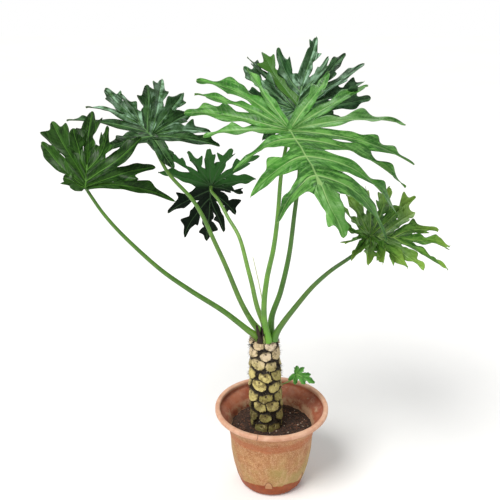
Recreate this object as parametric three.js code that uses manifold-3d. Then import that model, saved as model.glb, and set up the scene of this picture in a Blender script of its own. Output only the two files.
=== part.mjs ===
// A tree philodendron in a round plastic pot.
// Millimetres, +Z up. The origin is the centre of the pot's foot, on the surface that it stands on.
import * as THREE from "three";
import { mergeVertices } from "three/addons/utils/BufferGeometryUtils.js";
import Module from "manifold-3d";

const wasm = await Module();
wasm.setup();

// ---------- Driving dimensions ----------

const CLEARANCE = 0.3; // gap that touching pieces keep
const BLADE_GAP = 0.6; // from a stalk's tip to the curved underside of its blade

const POT_HEIGHT = 230;
const POT_WALL = 5;
const POT_FLOOR = 7;
const FOOT_RADIUS = 76;
const BODY_RADIUS = 110; // wall's outside, under the shoulder
const RIM_RADIUS = 148;
const RIM_WIDTH = 12;
const LIP_HEIGHT = 11;
const LIP_UNDERCUT = 7; // from the lip's underside down to the inside wall's last point
const WALL_STEP = 23; // about this much height from one point of the inside wall to the next
const SHOULDER_HEIGHT = 165; // where the wall steps out under the flare
const SHOULDER_STEP = 3;
const DRAIN_HOLES = 5;
const DRAIN_HOLE_RADIUS = 6;
const DRAIN_CIRCLE = 46; // radius of the ring of holes
const ARCHES = 6;
const ARCH_WIDTH = 22;
const ARCH_HEIGHT = 26;
const ARCH_DEPTH = 1.5;
const ARCH_RISE = 30; // height of an arch's sill
const ARCH_TURN = -5; // degrees that the ring of arches is turned

const SOIL_HEIGHT = 175;
const SOIL_MOUND = 8;

const TRUNK_TOP = 430;
const TRUNK_BOTTOM = 95; // end of the buried part
const TRUNK_RADIUS = 40;
const TRUNK_TOP_RADIUS = 35;
const TRUNK_LEAN = -8; // how far the top stands left of the base
const TRUNK_X = -13;
const SCAR_ROWS = 8;
const SCARS_AROUND = 6;
const FIRST_SCAR = 12; // height of the lowest scars over the soil's middle
const SCAR_RELIEF = 2.2;

const LEAF_THICKNESS = 1.4;
const STALK_TIP_RADIUS = 4;
const STALK_SIDES = 10;
const STALK_STEPS = 22;
const STALK_RISE = 6; // upright first stretch
const STALK_APPROACH = 16; // straight last stretch, square to the blade

// ---------- The stalks: base on the trunk's top, route and base radius ----------
// Places in the crown are measured from the middle of the trunk's top. Routes are hand-chosen
// points, and each stalk ends under the blade that it carries.

const STALKS = [
  {
    name: "stalk_far_left",
    leaf: "leaf_far_left",
    radius: 8.5,
    base: [-13, -12],
    route: [[-39, -23, 32], [-103, -19, 86], [-181, -15, 138], [-258, -12, 198], [-334, -8, 274], [-388, -4, 340]],
  },
  {
    name: "stalk_left",
    leaf: "leaf_left",
    radius: 8,
    base: [-5, 7],
    route: [[-29, 14, 36], [-56, 19, 86], [-114, 37, 226], [-172, 55, 344], [-238, 73, 418]],
  },
  {
    name: "stalk_back",
    leaf: "leaf_back",
    radius: 7.5,
    base: [5, 25],
    route: [[-17, 32, 70], [-37, 39, 157], [-64, 82, 244], [-92, 120, 282], [-120, 156, 320]],
  },
  {
    name: "stalk_centre",
    leaf: "leaf_front",
    radius: 8.5,
    base: [9, -22],
    route: [[-1, -28, 70], [4, -42, 180], [20, -58, 270], [29, -66, 370], [36, -72, 470]],
  },
  {
    name: "stalk_right",
    leaf: "leaf_top",
    radius: 8.5,
    base: [17, 6],
    route: [[19, 10, 55], [41, 23, 119], [59, 39, 198], [73, 50, 314], [85, 78, 438], [81, 100, 510]],
  },
  {
    name: "stalk_low_right",
    leaf: "leaf_right",
    radius: 8.5,
    base: [25, -14],
    route: [[36, -16, 33], [83, -7, 99], [121, -2, 146], [160, 2, 183], [207, 8, 216], [241, 13, 242]],
  },
];

// ---------- The blades ----------
// stalkTop: where the blade joins its stalk. forward: along the midrib. face: upper side's direction.
// A lobe is [heading in degrees left of the midrib, length, half width, sag of its tip, and how far
// its tip swings towards the apex]. A lobe with no fifth value is straight.
// left and right run from the notch at the stalk to the blade's apex. The last lobes of each side
// grow from the midrib, one pair to a step of it, and the others fan out from the stalk's top.

const LEAVES = [
  {
    name: "leaf_front",
    colour: 0x5fa050,
    stalkTop: [51, -80, 555],
    forward: [0.455, -0.73, -0.51],
    face: [0.15, -0.5, 0.85],
    midrib: 150,
    pairs: 3,
    tip: [0, 270, 23, 70],
    left: [
      [128, 265, 16, 25, 0],
      [110, 370, 16, 95, -30],
      [93, 350, 20, 90, 20],
      [70, 325, 20, 105, 0],
      [68, 305, 17, 145, 0],
      [68, 290, 20, 200, 10],
      [66, 225, 24, 160, 55],
    ],
    right: [
      [-182, 220, 14, 10, 0],
      [-170, 310, 17, 90, 20],
      [-154, 265, 13, 70, -5],
      [-135, 245, 18, 60, -10],
      [-119, 185, 14, 55, -5],
      [-112, 130, 18, 65, 45],
      [-102, 125, 22, 60, 55],
      [-102, 85, 22, 65, 70],
    ],
  },
  {
    name: "leaf_top",
    colour: 0x356d4c,
    stalkTop: [74, 110, 559],
    forward: [0.251, 0.679, 0.69],
    face: [0.05, -0.72, 0.69],
    midrib: 70,
    pairs: 2,
    tip: [0, 220, 15, 0],
    left: [
      [145, 105, 14, 25, 0],
      [112, 130, 14, 30, 10],
      [85, 155, 14, 35, 20],
      [66, 180, 14, 20, 25],
      [50, 205, 15, 30, 5],
      [50, 180, 14, 20, 25],
      [58, 120, 14, -20, 35],
    ],
    right: [
      [-92, 120, 14, 5, 10],
      [-69, 195, 14, 25, 35],
      [-50, 215, 14, 50, 30],
      [-36, 260, 15, 60, 20],
      [-27, 220, 15, 40, 20],
      [-30, 115, 14, -15, 15],
    ],
  },
  {
    name: "leaf_far_left",
    colour: 0x24401c,
    stalkTop: [-424, 0, 400],
    forward: [-0.012, 0.708, 0.706],
    face: [-0.1, -0.7, 0.7],
    midrib: 60,
    pairs: 2,
    tip: [0, 210, 15, 0],
    left: [
      [66, 60, 14, -5, 5],
      [50, 170, 16, -5, 20],
      [30, 210, 15, 15, 0],
      [30, 100, 14, -35, 25],
    ],
    right: [
      [-76, 190, 15, 115, -40],
      [-66, 170, 15, 45, 0],
      [-55, 165, 16, -30, -5],
      [-50, 105, 14, -35, 35],
    ],
  },
  {
    name: "leaf_left",
    colour: 0x3a6b45,
    stalkTop: [-275, 100, 498],
    forward: [-0.633, 0.645, 0.427],
    face: [0, -0.55, 0.83],
    midrib: 60,
    pairs: 2,
    tip: [0, 205, 15, 0],
    left: [
      [175, 100, 14, 25, 0],
      [60, 110, 14, 25, 5],
      [28, 235, 14, 50, -5],
      [12, 170, 13, 25, -25],
    ],
    right: [
      [-128, 165, 13, 30, -10],
      [-104, 150, 14, 45, -10],
      [-82, 145, 15, 35, 5],
      [-62, 170, 15, 10, -5],
      [-46, 210, 15, 15, 15],
      [-36, 165, 14, 0, 5],
      [-22, 105, 14, -15, 25],
    ],
  },
  {
    name: "leaf_back",
    colour: 0x1c2b1a,
    stalkTop: [-136, 180, 346],
    forward: [-0.093, 0.505, -0.858],
    face: [0, 0.86, 0.51],
    midrib: 60,
    pairs: 2,
    tip: [0, 205, 15, 20],
    left: [
      [172, 155, 13, 20, -10],
      [153, 160, 13, 25, -10],
      [136, 195, 14, 35, -10],
      [116, 155, 14, 35, -10],
      [60, 135, 15, 20, 15],
      [36, 135, 15, 35, 20],
    ],
    right: [
      [-170, 165, 14, 20, 15],
      [-145, 180, 14, 20, 10],
      [-112, 120, 15, 5, 0],
      [-82, 85, 15, 5, 5],
      [-42, 95, 15, 20, -10],
      [-18, 95, 15, 40, -15],
    ],
  },
  {
    name: "leaf_right",
    colour: 0x3f7036,
    stalkTop: [256, 15, 270],
    forward: [0.981, 0.165, -0.104],
    face: [0.15, -0.3, 0.94],
    midrib: 80,
    pairs: 2,
    tip: [0, 215, 13, 20],
    left: [
      [118, 125, 11, -5, 5],
      [94, 170, 12, 0, -10],
      [75, 205, 12, 5, -10],
      [60, 250, 13, 10, -15],
      [47, 255, 13, 10, 0],
      [42, 205, 13, 25, -10],
      [42, 165, 13, 25, 45],
    ],
    right: [
      [-196, 85, 12, -5, -5],
      [-162, 70, 12, 5, 0],
      [-130, 85, 13, 20, 0],
      [-98, 75, 13, 25, -5],
      [-70, 80, 13, 15, -10],
      [-52, 120, 13, 15, 0],
      [-46, 135, 13, 15, 5],
      [-40, 150, 14, 15, 15],
    ],
  },
];

// The side shoot leaves the trunk's side, and its places are measured from there.
const SHOOT_STEM_RADIUS = 1.8;
const SHOOT_HEIGHT = 284;
const SHOOT_Y = 10;
const SHOOT_BEND = [14, 0, 10]; // the stem's knee
const SHOOT_LEAF = {
  name: "side_shoot_leaf",
  colour: 0x6fb04a,
  stalkTop: [37, 2, 32],
  forward: [0.85, -0.35, -0.2],
  face: [0.1, -0.6, 0.79],
  midrib: 18,
  pairs: 1,
  tip: [0, 52, 8, 6],
  left: [[110, 26, 6, 2], [70, 30, 6, 3], [35, 30, 7, 4]],
  right: [[-120, 26, 6, 2], [-75, 28, 6, 4], [-35, 26, 7, 5]],
};

// ---------- Sheaths and bud on the trunk's top: base, tip, and radius at each ----------

const SHEATHS = [
  { name: "dry_sheath", colour: 0x2a1d14, base: [-10, -27], tip: [-19, -30, 50], radius: 5, end: 1 },
  { name: "bud", colour: 0x8a9a4a, base: [0, -30], tip: [-2, -34, 22], radius: 3, end: 1 },
  { name: "pale_sheath", colour: 0xc9d6a0, base: [6, 11], tip: [-29, 30, 210], radius: 2, end: 0.8 },
];

// ---------- Where things are measured from ----------

const vector = (p) => new THREE.Vector3(...p);
const CROWN = new THREE.Vector3(TRUNK_X + TRUNK_LEAN, 0, TRUNK_TOP);
const SHOOT_FOOT = new THREE.Vector3(TRUNK_X + TRUNK_RADIUS, SHOOT_Y, SHOOT_HEIGHT);
const inCrown = (p) => vector(p).add(CROWN);
const onCrown = ([x, y]) => inCrown([x, y, CLEARANCE]);
const fromShoot = (p) => vector(p).add(SHOOT_FOOT);

// ---------- Solids ----------

// A closed mesh as a solid that can be joined and cut.
function solidOf(geometry) {
  const bare = geometry.index ? geometry.toNonIndexed() : geometry.clone();
  bare.deleteAttribute("normal");
  bare.deleteAttribute("uv");
  const merged = mergeVertices(bare, 1e-4);
  return new wasm.Manifold(
    new wasm.Mesh({
      numProp: 3,
      vertProperties: new Float32Array(merged.attributes.position.array),
      triVerts: new Uint32Array(merged.index.array),
    }),
  );
}

function geometryOf(solid) {
  const mesh = solid.getMesh();
  const geometry = new THREE.BufferGeometry();
  geometry.setAttribute("position", new THREE.BufferAttribute(mesh.vertProperties, 3));
  geometry.setIndex(new THREE.BufferAttribute(mesh.triVerts, 1));
  return geometry;
}

function turned(profile, segments) {
  const points = profile.map(([r, z]) => new THREE.Vector2(r, z));
  return new THREE.LatheGeometry(points, segments).rotateX(Math.PI / 2);
}

// A closed tube of rings: ring(i) gives one ring's points, all counterclockwise seen from its end.
function tubeOfRings(rings) {
  const sides = rings[0].length;
  const points = rings.flat();
  const faces = [];
  for (let i = 0; i + 1 < rings.length; i++) {
    for (let j = 0; j < sides; j++) {
      const a = i * sides + j;
      const b = i * sides + ((j + 1) % sides);
      faces.push(a, b, b + sides, a, b + sides, a + sides);
    }
  }
  const last = (rings.length - 1) * sides;
  for (let j = 1; j + 1 < sides; j++) {
    faces.push(0, j + 1, j);
    faces.push(last, last + j, last + j + 1);
  }
  const geometry = new THREE.BufferGeometry().setFromPoints(points);
  geometry.setIndex(faces);
  return geometry;
}

// A round tube along a curve, its radius given along the way.
function taperedTube(curve, radiusAt, sides, steps) {
  const frames = curve.computeFrenetFrames(steps, false);
  const rings = [];
  for (let i = 0; i <= steps; i++) {
    const centre = curve.getPointAt(i / steps);
    const radius = radiusAt(i / steps);
    const ring = [];
    for (let j = 0; j < sides; j++) {
      const turn = (2 * Math.PI * j) / sides;
      const out = frames.normals[i].clone().multiplyScalar(Math.cos(turn) * radius);
      out.addScaledVector(frames.binormals[i], Math.sin(turn) * radius);
      ring.push(centre.clone().add(out));
    }
    rings.push(ring);
  }
  return tubeOfRings(rings);
}

function piece(name, geometry, colour, roughness) {
  const material = new THREE.MeshStandardMaterial({ color: colour, roughness, metalness: 0 });
  const mesh = new THREE.Mesh(geometry, material);
  mesh.name = name;
  return mesh;
}

// ---------- Pot ----------

// The wall's outside from the foot up: [radius, height].
const FLARE = RIM_RADIUS - BODY_RADIUS - SHOULDER_STEP;
const FLARE_HEIGHT = POT_HEIGHT - LIP_HEIGHT - SHOULDER_HEIGHT;
const wallOutside = [
  [FOOT_RADIUS, 0],
  [FOOT_RADIUS + 0.24 * (BODY_RADIUS - FOOT_RADIUS), 0.06 * SHOULDER_HEIGHT],
  [FOOT_RADIUS + 0.48 * (BODY_RADIUS - FOOT_RADIUS), 0.2 * SHOULDER_HEIGHT],
  [FOOT_RADIUS + 0.72 * (BODY_RADIUS - FOOT_RADIUS), 0.4 * SHOULDER_HEIGHT],
  [FOOT_RADIUS + 0.9 * (BODY_RADIUS - FOOT_RADIUS), 0.64 * SHOULDER_HEIGHT],
  [BODY_RADIUS, SHOULDER_HEIGHT],
  [BODY_RADIUS + SHOULDER_STEP, SHOULDER_HEIGHT + 2],
];
const flareOutside = [0.2, 0.4, 0.6, 0.8, 1].map((t) => [
  BODY_RADIUS + SHOULDER_STEP + FLARE * t ** 2.2,
  SHOULDER_HEIGHT + 2 + (FLARE_HEIGHT - 2) * t,
]);

// The inside's radius at a height follows the outside, one wall in.
function insideRadius(height) {
  const outside = [...wallOutside, ...flareOutside];
  const after = outside.findIndex(([, z]) => z >= height);
  const [r1, z1] = outside[after];
  const [r0, z0] = outside[after - 1];
  return r0 + ((r1 - r0) * (height - z0)) / (z1 - z0) - POT_WALL;
}

// Heights of the inside wall's points between two levels, the lower one left out.
function wallHeights(low, high) {
  const steps = Math.max(1, Math.round((high - low) / WALL_STEP));
  return Array.from({ length: steps }, (_, i) => low + ((high - low) * (i + 1)) / steps);
}

const SOIL_EDGE = SOIL_HEIGHT - SOIL_MOUND;
const buriedHeights = wallHeights(POT_FLOOR, SOIL_EDGE);
const openHeights = wallHeights(SOIL_EDGE, POT_HEIGHT - LIP_HEIGHT - LIP_UNDERCUT);

function makePot() {
  const insideHeights = [POT_FLOOR, ...buriedHeights, ...openHeights];
  const inside = insideHeights.map((z) => [insideRadius(z), z]).reverse();
  const profile = [
    [0, 0],
    ...wallOutside,
    ...flareOutside,
    [RIM_RADIUS, POT_HEIGHT - 2],
    [RIM_RADIUS - 2, POT_HEIGHT],
    [RIM_RADIUS - RIM_WIDTH, POT_HEIGHT],
    [RIM_RADIUS - RIM_WIDTH - 1, POT_HEIGHT - 4],
    ...inside,
    [0, POT_FLOOR],
  ];
  let pot = solidOf(turned(profile, 56));
  for (let i = 0; i < DRAIN_HOLES; i++) {
    const turn = (2 * Math.PI * (i + 0.25)) / DRAIN_HOLES;
    const hole = new THREE.CylinderGeometry(DRAIN_HOLE_RADIUS, DRAIN_HOLE_RADIUS, 4 * POT_FLOOR, 16);
    hole.rotateX(Math.PI / 2);
    hole.translate(DRAIN_CIRCLE * Math.cos(turn), DRAIN_CIRCLE * Math.sin(turn), 0);
    pot = pot.subtract(solidOf(hole));
  }
  const arch = new THREE.Shape();
  arch.moveTo(-ARCH_WIDTH / 2, 0);
  arch.lineTo(ARCH_WIDTH / 2, 0);
  arch.absellipse(0, 0, ARCH_WIDTH / 2, ARCH_HEIGHT, 0, Math.PI);
  const sillRadius = insideRadius(ARCH_RISE);
  const slope = Math.atan2(insideRadius(ARCH_RISE + ARCH_HEIGHT) - sillRadius, ARCH_HEIGHT);
  for (let i = 0; i < ARCHES; i++) {
    const depth = ARCH_DEPTH + FOOT_RADIUS / 4; // out past the wall
    const cut = new THREE.ExtrudeGeometry(arch, { depth, bevelEnabled: false, curveSegments: 8 });
    cut.rotateX(Math.PI / 2 + slope);
    cut.translate(0, -sillRadius - POT_WALL + ARCH_DEPTH, ARCH_RISE);
    cut.rotateZ((2 * Math.PI * i) / ARCHES + THREE.MathUtils.degToRad(ARCH_TURN));
    pot = pot.subtract(solidOf(cut));
  }
  return piece("pot", geometryOf(pot), 0xbe8760, 0.75);
}

// ---------- Trunk ----------

// Rings of the trunk. Above the soil the wall carries rows of scars, each row turned half a scar
// against the last; grow widens it all round.
function trunkRings(grow) {
  const around = SCARS_AROUND * 6;
  const heights = [TRUNK_BOTTOM - grow, TRUNK_BOTTOM + 12, SOIL_HEIGHT + FIRST_SCAR];
  const levels = SCAR_ROWS * 2;
  const first = heights.at(-1);
  for (let i = 1; i <= levels; i++) {
    heights.push(first + ((TRUNK_TOP - first) * i) / levels);
  }
  return heights.map((z, level) => {
    const up = Math.max(0, (z - SOIL_HEIGHT) / (TRUNK_TOP - SOIL_HEIGHT));
    const swell = 3 * Math.sin(Math.PI * up);
    const buried = level === 0 ? 0.7 : 1;
    const plain = (TRUNK_RADIUS + (TRUNK_TOP_RADIUS - TRUNK_RADIUS) * up + swell) * buried + grow;
    const row = Math.max(0, level - 2) / 2;
    const ring = [];
    for (let j = 0; j < around; j++) {
      const turn = (2 * Math.PI * j) / around;
      const lattice = Math.cos(SCARS_AROUND * turn + Math.PI * row) * Math.cos(Math.PI * row) ** 2;
      const relief = level > 2 && z < TRUNK_TOP ? SCAR_RELIEF * lattice : 0;
      const r = plain + relief;
      ring.push(new THREE.Vector3(TRUNK_X + TRUNK_LEAN * up + r * Math.cos(turn), r * Math.sin(turn), z));
    }
    return ring;
  });
}

const makeTrunk = () => piece("trunk", tubeOfRings(trunkRings(0)), 0x8a7a48, 0.85);

// ---------- Soil ----------

function makeSoil() {
  const profile = [
    [0, POT_FLOOR + CLEARANCE],
    [insideRadius(POT_FLOOR) - CLEARANCE, POT_FLOOR + CLEARANCE],
    ...buriedHeights.map((z) => [insideRadius(z) - CLEARANCE, z]),
    [0.7 * BODY_RADIUS, SOIL_HEIGHT - 2],
    [0.35 * BODY_RADIUS, SOIL_HEIGHT],
    [0, SOIL_HEIGHT],
  ];
  const socket = solidOf(tubeOfRings(trunkRings(CLEARANCE)));
  const soil = solidOf(turned(profile, 48)).subtract(socket);
  return piece("soil", geometryOf(soil), 0x2e211a, 0.95);
}

// ---------- Blades ----------

const TIP_ROWS = 8;
const WEB_ROW = 2; // neighbouring lobes are joined as far as this row
const LOBE_SLIT = 1.2; // least gap between neighbours past the notch

// A blade's directions in space.
function bladeFrame(leaf, place = inCrown) {
  const forward = vector(leaf.forward).normalize();
  const face = vector(leaf.face);
  face.addScaledVector(forward, -face.dot(forward)).normalize();
  const left = new THREE.Vector3().crossVectors(face, forward);
  return { origin: place(leaf.stalkTop), forward, face, left };
}

// A point of the midrib, and its slope, at a distance from the stalk's top.
function midribAt(leaf, frame, distance) {
  const [, length, , sag] = leaf.tip;
  const t = distance / length;
  const point = frame.origin.clone().addScaledVector(frame.forward, distance);
  point.addScaledVector(frame.face, -sag * t * t);
  const along = frame.forward.clone().addScaledVector(frame.face, (-2 * sag * t) / length);
  return { point, along: along.normalize() };
}

// Half width along a lobe: a waist, a broad middle and a rounded tip.
function lobeWidth(half, t) {
  const body = half * (0.75 + 0.35 * Math.sin(Math.PI * Math.min(1, t * 1.15)));
  const tip = Math.sqrt(Math.max(0, 1 - Math.max(0, (t - 0.6) / 0.4) ** 2));
  return body * tip;
}

// One lobe's rib and edges. base is the row of midrib points that it grows from.
function growLobe(leaf, frame, lobe, base, distance) {
  const [heading, length, half, sag, swing = 0] = lobe;
  const { along } = midribAt(leaf, frame, distance);
  const middle = base[(base.length - 1) / 2];
  const turn = THREE.MathUtils.degToRad(heading);
  const out = along.clone().multiplyScalar(Math.cos(turn));
  out.addScaledVector(frame.left, Math.sin(turn));
  const up = new THREE.Vector3().crossVectors(along, frame.left).normalize();
  const side = new THREE.Vector3().crossVectors(out, up).normalize(); // towards the next lobe
  const swung = Math.sign(heading) * swing;
  const rows = [];
  for (let row = 0; row <= TIP_ROWS; row++) {
    const t = row / TIP_ROWS;
    const rib = middle.clone().addScaledVector(out, length * t);
    rib.addScaledVector(up, -sag * t * t).addScaledVector(side, swung * t * t);
    const width = lobeWidth(half, t);
    const before = rib.clone().addScaledVector(side, -width).addScaledVector(up, 0.15 * width);
    const after = rib.clone().addScaledVector(side, width).addScaledVector(up, 0.15 * width);
    rows.push({ rib, before, after });
  }
  rows[0] = { rib: middle, before: base[0], after: base.at(-1) };
  return rows;
}

// Neighbours share one line as far as the notch between them; past it each edge returns to its own.
function joinLobes(one, next) {
  const shared = [];
  for (let row = 1; row <= WEB_ROW; row++) {
    shared[row] = one[row].after.clone().lerp(next[row].before, 0.5);
  }
  const notch = shared[WEB_ROW];
  const pullOne = notch.clone().sub(one[WEB_ROW].after);
  const pullNext = notch.clone().sub(next[WEB_ROW].before);
  for (let row = 1; row < TIP_ROWS; row++) {
    if (row <= WEB_ROW) {
      one[row].after = shared[row];
      next[row].before = shared[row];
    } else {
      const fade = 0.3 ** (row - WEB_ROW);
      one[row].after.addScaledVector(pullOne, fade);
      next[row].before.addScaledVector(pullNext, fade);
      // Edges that would cross draw back to their middle.
      const across = next[row].rib.clone().sub(one[row].rib).normalize();
      const crossed = one[row].after.clone().sub(next[row].before).dot(across) + LOBE_SLIT;
      if (crossed > 0) {
        one[row].after.addScaledVector(across, -crossed / 2);
        next[row].before.addScaledVector(across, crossed / 2);
      }
    }
  }
}

// The blade's middle surface as triangles, and the same thickened to a closed solid.
function bladeGeometry(leaf, frame) {
  const stations = [];
  for (let k = 0; k <= leaf.pairs; k++) {
    stations.push((leaf.midrib * k) / leaf.pairs);
  }
  const ribPoint = (distance) => midribAt(leaf, frame, distance).point;
  const onMidrib = (from, to) => [from, (from + to) / 2, to].map(ribPoint);
  const grow = (lobe, from, to) => growLobe(leaf, frame, lobe, onMidrib(from, to), (from + to) / 2);
  const sideLobes = (lobes) =>
    lobes.map((lobe, i) => {
      const pair = i - (lobes.length - leaf.pairs);
      return { lobe, from: pair < 0 ? 0 : stations[pair], to: pair < 0 ? 0 : stations[pair + 1] };
    });
  const leftLobes = sideLobes(leaf.left).map(({ lobe, from, to }) => grow(lobe, from, to));
  const rightLobes = sideLobes(leaf.right).map(({ lobe, from, to }) => grow(lobe, to, from));
  const [, tipLength, tipHalf, tipSag] = leaf.tip;
  const beyond = 1 - leaf.midrib / tipLength;
  const apexLobe = [0, tipLength * beyond, tipHalf, tipSag * beyond * beyond];
  const apex = grow(apexLobe, leaf.midrib, leaf.midrib);
  const lobes = [...leftLobes, apex, ...rightLobes.reverse()];
  for (let i = 0; i + 1 < lobes.length; i++) {
    joinLobes(lobes[i], lobes[i + 1]);
  }
  const corners = [];
  for (const rows of lobes) {
    for (let row = 0; row < TIP_ROWS; row++) {
      const [a, b] = [rows[row], rows[row + 1]];
      if (row === TIP_ROWS - 1) {
        corners.push(a.before, a.rib, b.rib, a.rib, a.after, b.rib);
      } else {
        corners.push(a.before, b.rib, b.before, a.before, a.rib, b.rib);
        corners.push(a.rib, b.after, b.rib, a.rib, a.after, b.after);
      }
    }
  }
  return thickened(corners, LEAF_THICKNESS);
}

// Gives a sheet of triangles a thickness, half to each side, and closes its rim.
function thickened(corners, thickness) {
  const loose = new THREE.BufferGeometry().setFromPoints(corners);
  const sheet = mergeVertices(loose, 1e-3);
  const ids = [];
  for (let i = 0; i < sheet.index.count; i += 3) {
    const face = [0, 1, 2].map((k) => sheet.index.getX(i + k));
    if (new Set(face).size === 3) {
      ids.push(...face);
    }
  }
  sheet.setIndex(ids);
  sheet.computeVertexNormals();
  const { position, normal } = sheet.attributes;
  const count = position.count;
  const points = [];
  for (const side of [1, -1]) {
    for (let i = 0; i < count; i++) {
      const out = new THREE.Vector3().fromBufferAttribute(normal, i);
      const point = new THREE.Vector3().fromBufferAttribute(position, i);
      points.push(point.addScaledVector(out, (side * thickness) / 2));
    }
  }
  const faces = [];
  const edges = new Map();
  for (let i = 0; i < ids.length; i += 3) {
    const [a, b, c] = ids.slice(i, i + 3);
    faces.push(a, b, c, count + a, count + c, count + b);
    for (const [p, q] of [[a, b], [b, c], [c, a]]) {
      edges.set(`${p} ${q}`, [p, q]);
    }
  }
  for (const [p, q] of edges.values()) {
    if (!edges.has(`${q} ${p}`)) {
      faces.push(p, count + q, q, p, count + p, count + q);
    }
  }
  const geometry = new THREE.BufferGeometry().setFromPoints(points);
  geometry.setIndex(faces);
  return geometry;
}

// ---------- Stalks ----------

function makeStalk(stalk) {
  const leaf = LEAVES.find(({ name }) => name === stalk.leaf);
  const { origin, face } = bladeFrame(leaf);
  const under = (drop) => origin.clone().addScaledVector(face, -drop);
  const foot = onCrown(stalk.base);
  const route = [
    foot,
    foot.clone().add(new THREE.Vector3(0, 0, STALK_RISE)),
    ...stalk.route.map(inCrown),
    under(STALK_APPROACH),
    under(LEAF_THICKNESS / 2 + BLADE_GAP),
  ];
  const curve = new THREE.CatmullRomCurve3(route, false, "centripetal");
  const radiusAt = (t) => stalk.radius + (STALK_TIP_RADIUS - stalk.radius) * t ** 0.8;
  return piece(stalk.name, taperedTube(curve, radiusAt, STALK_SIDES, STALK_STEPS), 0x6fa045, 0.5);
}

function makeShootStem() {
  const { origin, face } = bladeFrame(SHOOT_LEAF, fromShoot);
  const route = [
    fromShoot([-TRUNK_RADIUS / 2, 0, 0]),
    fromShoot(SHOOT_BEND),
    origin.clone().addScaledVector(face, -STALK_APPROACH / 2),
    origin.clone().addScaledVector(face, -LEAF_THICKNESS / 2 - BLADE_GAP),
  ];
  const curve = new THREE.CatmullRomCurve3(route, false, "centripetal");
  const stem = solidOf(taperedTube(curve, () => SHOOT_STEM_RADIUS, 8, 12));
  const trunk = solidOf(tubeOfRings(trunkRings(CLEARANCE)));
  return piece("side_shoot_stem", geometryOf(stem.subtract(trunk)), 0x86b056, 0.5);
}

function makeSheath({ name, colour, base, tip, radius, end }) {
  const foot = onCrown(base);
  const top = inCrown(tip);
  const rise = new THREE.Vector3(foot.x, foot.y, foot.z + 0.3 * (top.z - foot.z));
  const curve = new THREE.QuadraticBezierCurve3(foot, rise, top);
  return piece(name, taperedTube(curve, (t) => radius + (end - radius) * t, 8, 8), colour, 0.8);
}

// ---------- The whole plant ----------

const plant = new THREE.Group();
plant.add(makePot(), makeSoil(), makeTrunk());
for (const stalk of STALKS) {
  plant.add(makeStalk(stalk));
}
for (const leaf of LEAVES) {
  plant.add(piece(leaf.name, bladeGeometry(leaf, bladeFrame(leaf)), leaf.colour, 0.45));
}
const shootBlade = bladeGeometry(SHOOT_LEAF, bladeFrame(SHOOT_LEAF, fromShoot));
plant.add(piece(SHOOT_LEAF.name, shootBlade, SHOOT_LEAF.colour, 0.45));
plant.add(makeShootStem(), ...SHEATHS.map(makeSheath));

export default plant;
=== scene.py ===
# %% [markdown]
# # A tree philodendron in a plastic pot
#
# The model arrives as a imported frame: a pot, its soil, a trunk, six leaf stalks and six blades, all
# in metres, with +Z up and the pot's foot at the origin. Each plain solid is replaced here by a
# finely built piece that stands in the same place.

# %% Load the frame and keep its box
import math
import random

import bpy
import numpy as np
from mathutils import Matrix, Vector, noise


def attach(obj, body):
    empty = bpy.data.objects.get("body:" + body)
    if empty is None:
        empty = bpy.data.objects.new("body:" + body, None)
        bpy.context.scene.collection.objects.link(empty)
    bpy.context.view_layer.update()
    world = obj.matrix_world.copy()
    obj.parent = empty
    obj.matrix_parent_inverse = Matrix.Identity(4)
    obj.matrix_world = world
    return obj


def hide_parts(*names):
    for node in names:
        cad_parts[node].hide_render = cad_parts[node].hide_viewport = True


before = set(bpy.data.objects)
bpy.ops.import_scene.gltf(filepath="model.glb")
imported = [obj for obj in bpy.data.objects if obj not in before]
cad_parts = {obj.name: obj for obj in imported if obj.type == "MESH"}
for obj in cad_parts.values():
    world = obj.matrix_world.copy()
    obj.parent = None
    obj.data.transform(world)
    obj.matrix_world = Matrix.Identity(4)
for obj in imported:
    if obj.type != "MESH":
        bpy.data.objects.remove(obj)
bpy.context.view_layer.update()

# %% [markdown]
# ## Helpers that every piece uses
#
# A mesh is built from a list of points and a list of faces, which is the shortest way to a shape
# that follows a formula. Values that a material needs later, such as the distance from a vein, are
# stored on the mesh as named attributes, one for each point or for each face corner.

# %% Make a piece from points and faces
MM = 0.001


def make_piece(name, node, points, faces, material, point_values=None, corner_values=None):
    """A smooth mesh object that stands for a CAD node."""
    mesh = bpy.data.meshes.new(name)
    mesh.from_pydata([tuple(p) for p in points], [], faces)
    mesh.shade_smooth()
    for key, values in (point_values or {}).items():
        layer = mesh.attributes.new(key, "FLOAT", "POINT")
        layer.data.foreach_set("value", np.asarray(values, np.float32))
    for key, values in (corner_values or {}).items():
        layer = mesh.attributes.new(key, "FLOAT_VECTOR", "CORNER")
        layer.data.foreach_set("vector", np.asarray(values, np.float32).ravel())
    mesh.validate()
    mesh.materials.append(material)
    piece = bpy.data.objects.new(name, mesh)
    bpy.context.scene.collection.objects.link(piece)
    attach(piece, "root")
    if node:
        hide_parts(node)
    print(f"{name}: {len(mesh.vertices)} points, {len(mesh.polygons)} faces")
    return piece


def ring_faces(rings, sides):
    """Quads between rings of points that were laid down one after another."""
    faces = []
    for i in range(rings - 1):
        for j in range(sides):
            a, b = i * sides + j, i * sides + (j + 1) % sides
            faces.append((a, b, b + sides, a + sides))
    return faces


def smooth_step(low, high, value):
    t = np.clip((value - low) / (high - low), 0, 1)
    return t * t * (3 - 2 * t)


# %% [markdown]
# ## Shader helpers
#
# A material is a small graph of nodes. `Shader` wraps a material's or a group's node tree so that
# each line below adds one node and wires what feeds it.

# %% A short way to write node graphs
MIX_COLOUR_INPUTS = (0, 6, 7)  # a mix node has three sets of sockets; these take share and colours
MIX_COLOUR_OUTPUT = 2


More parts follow.
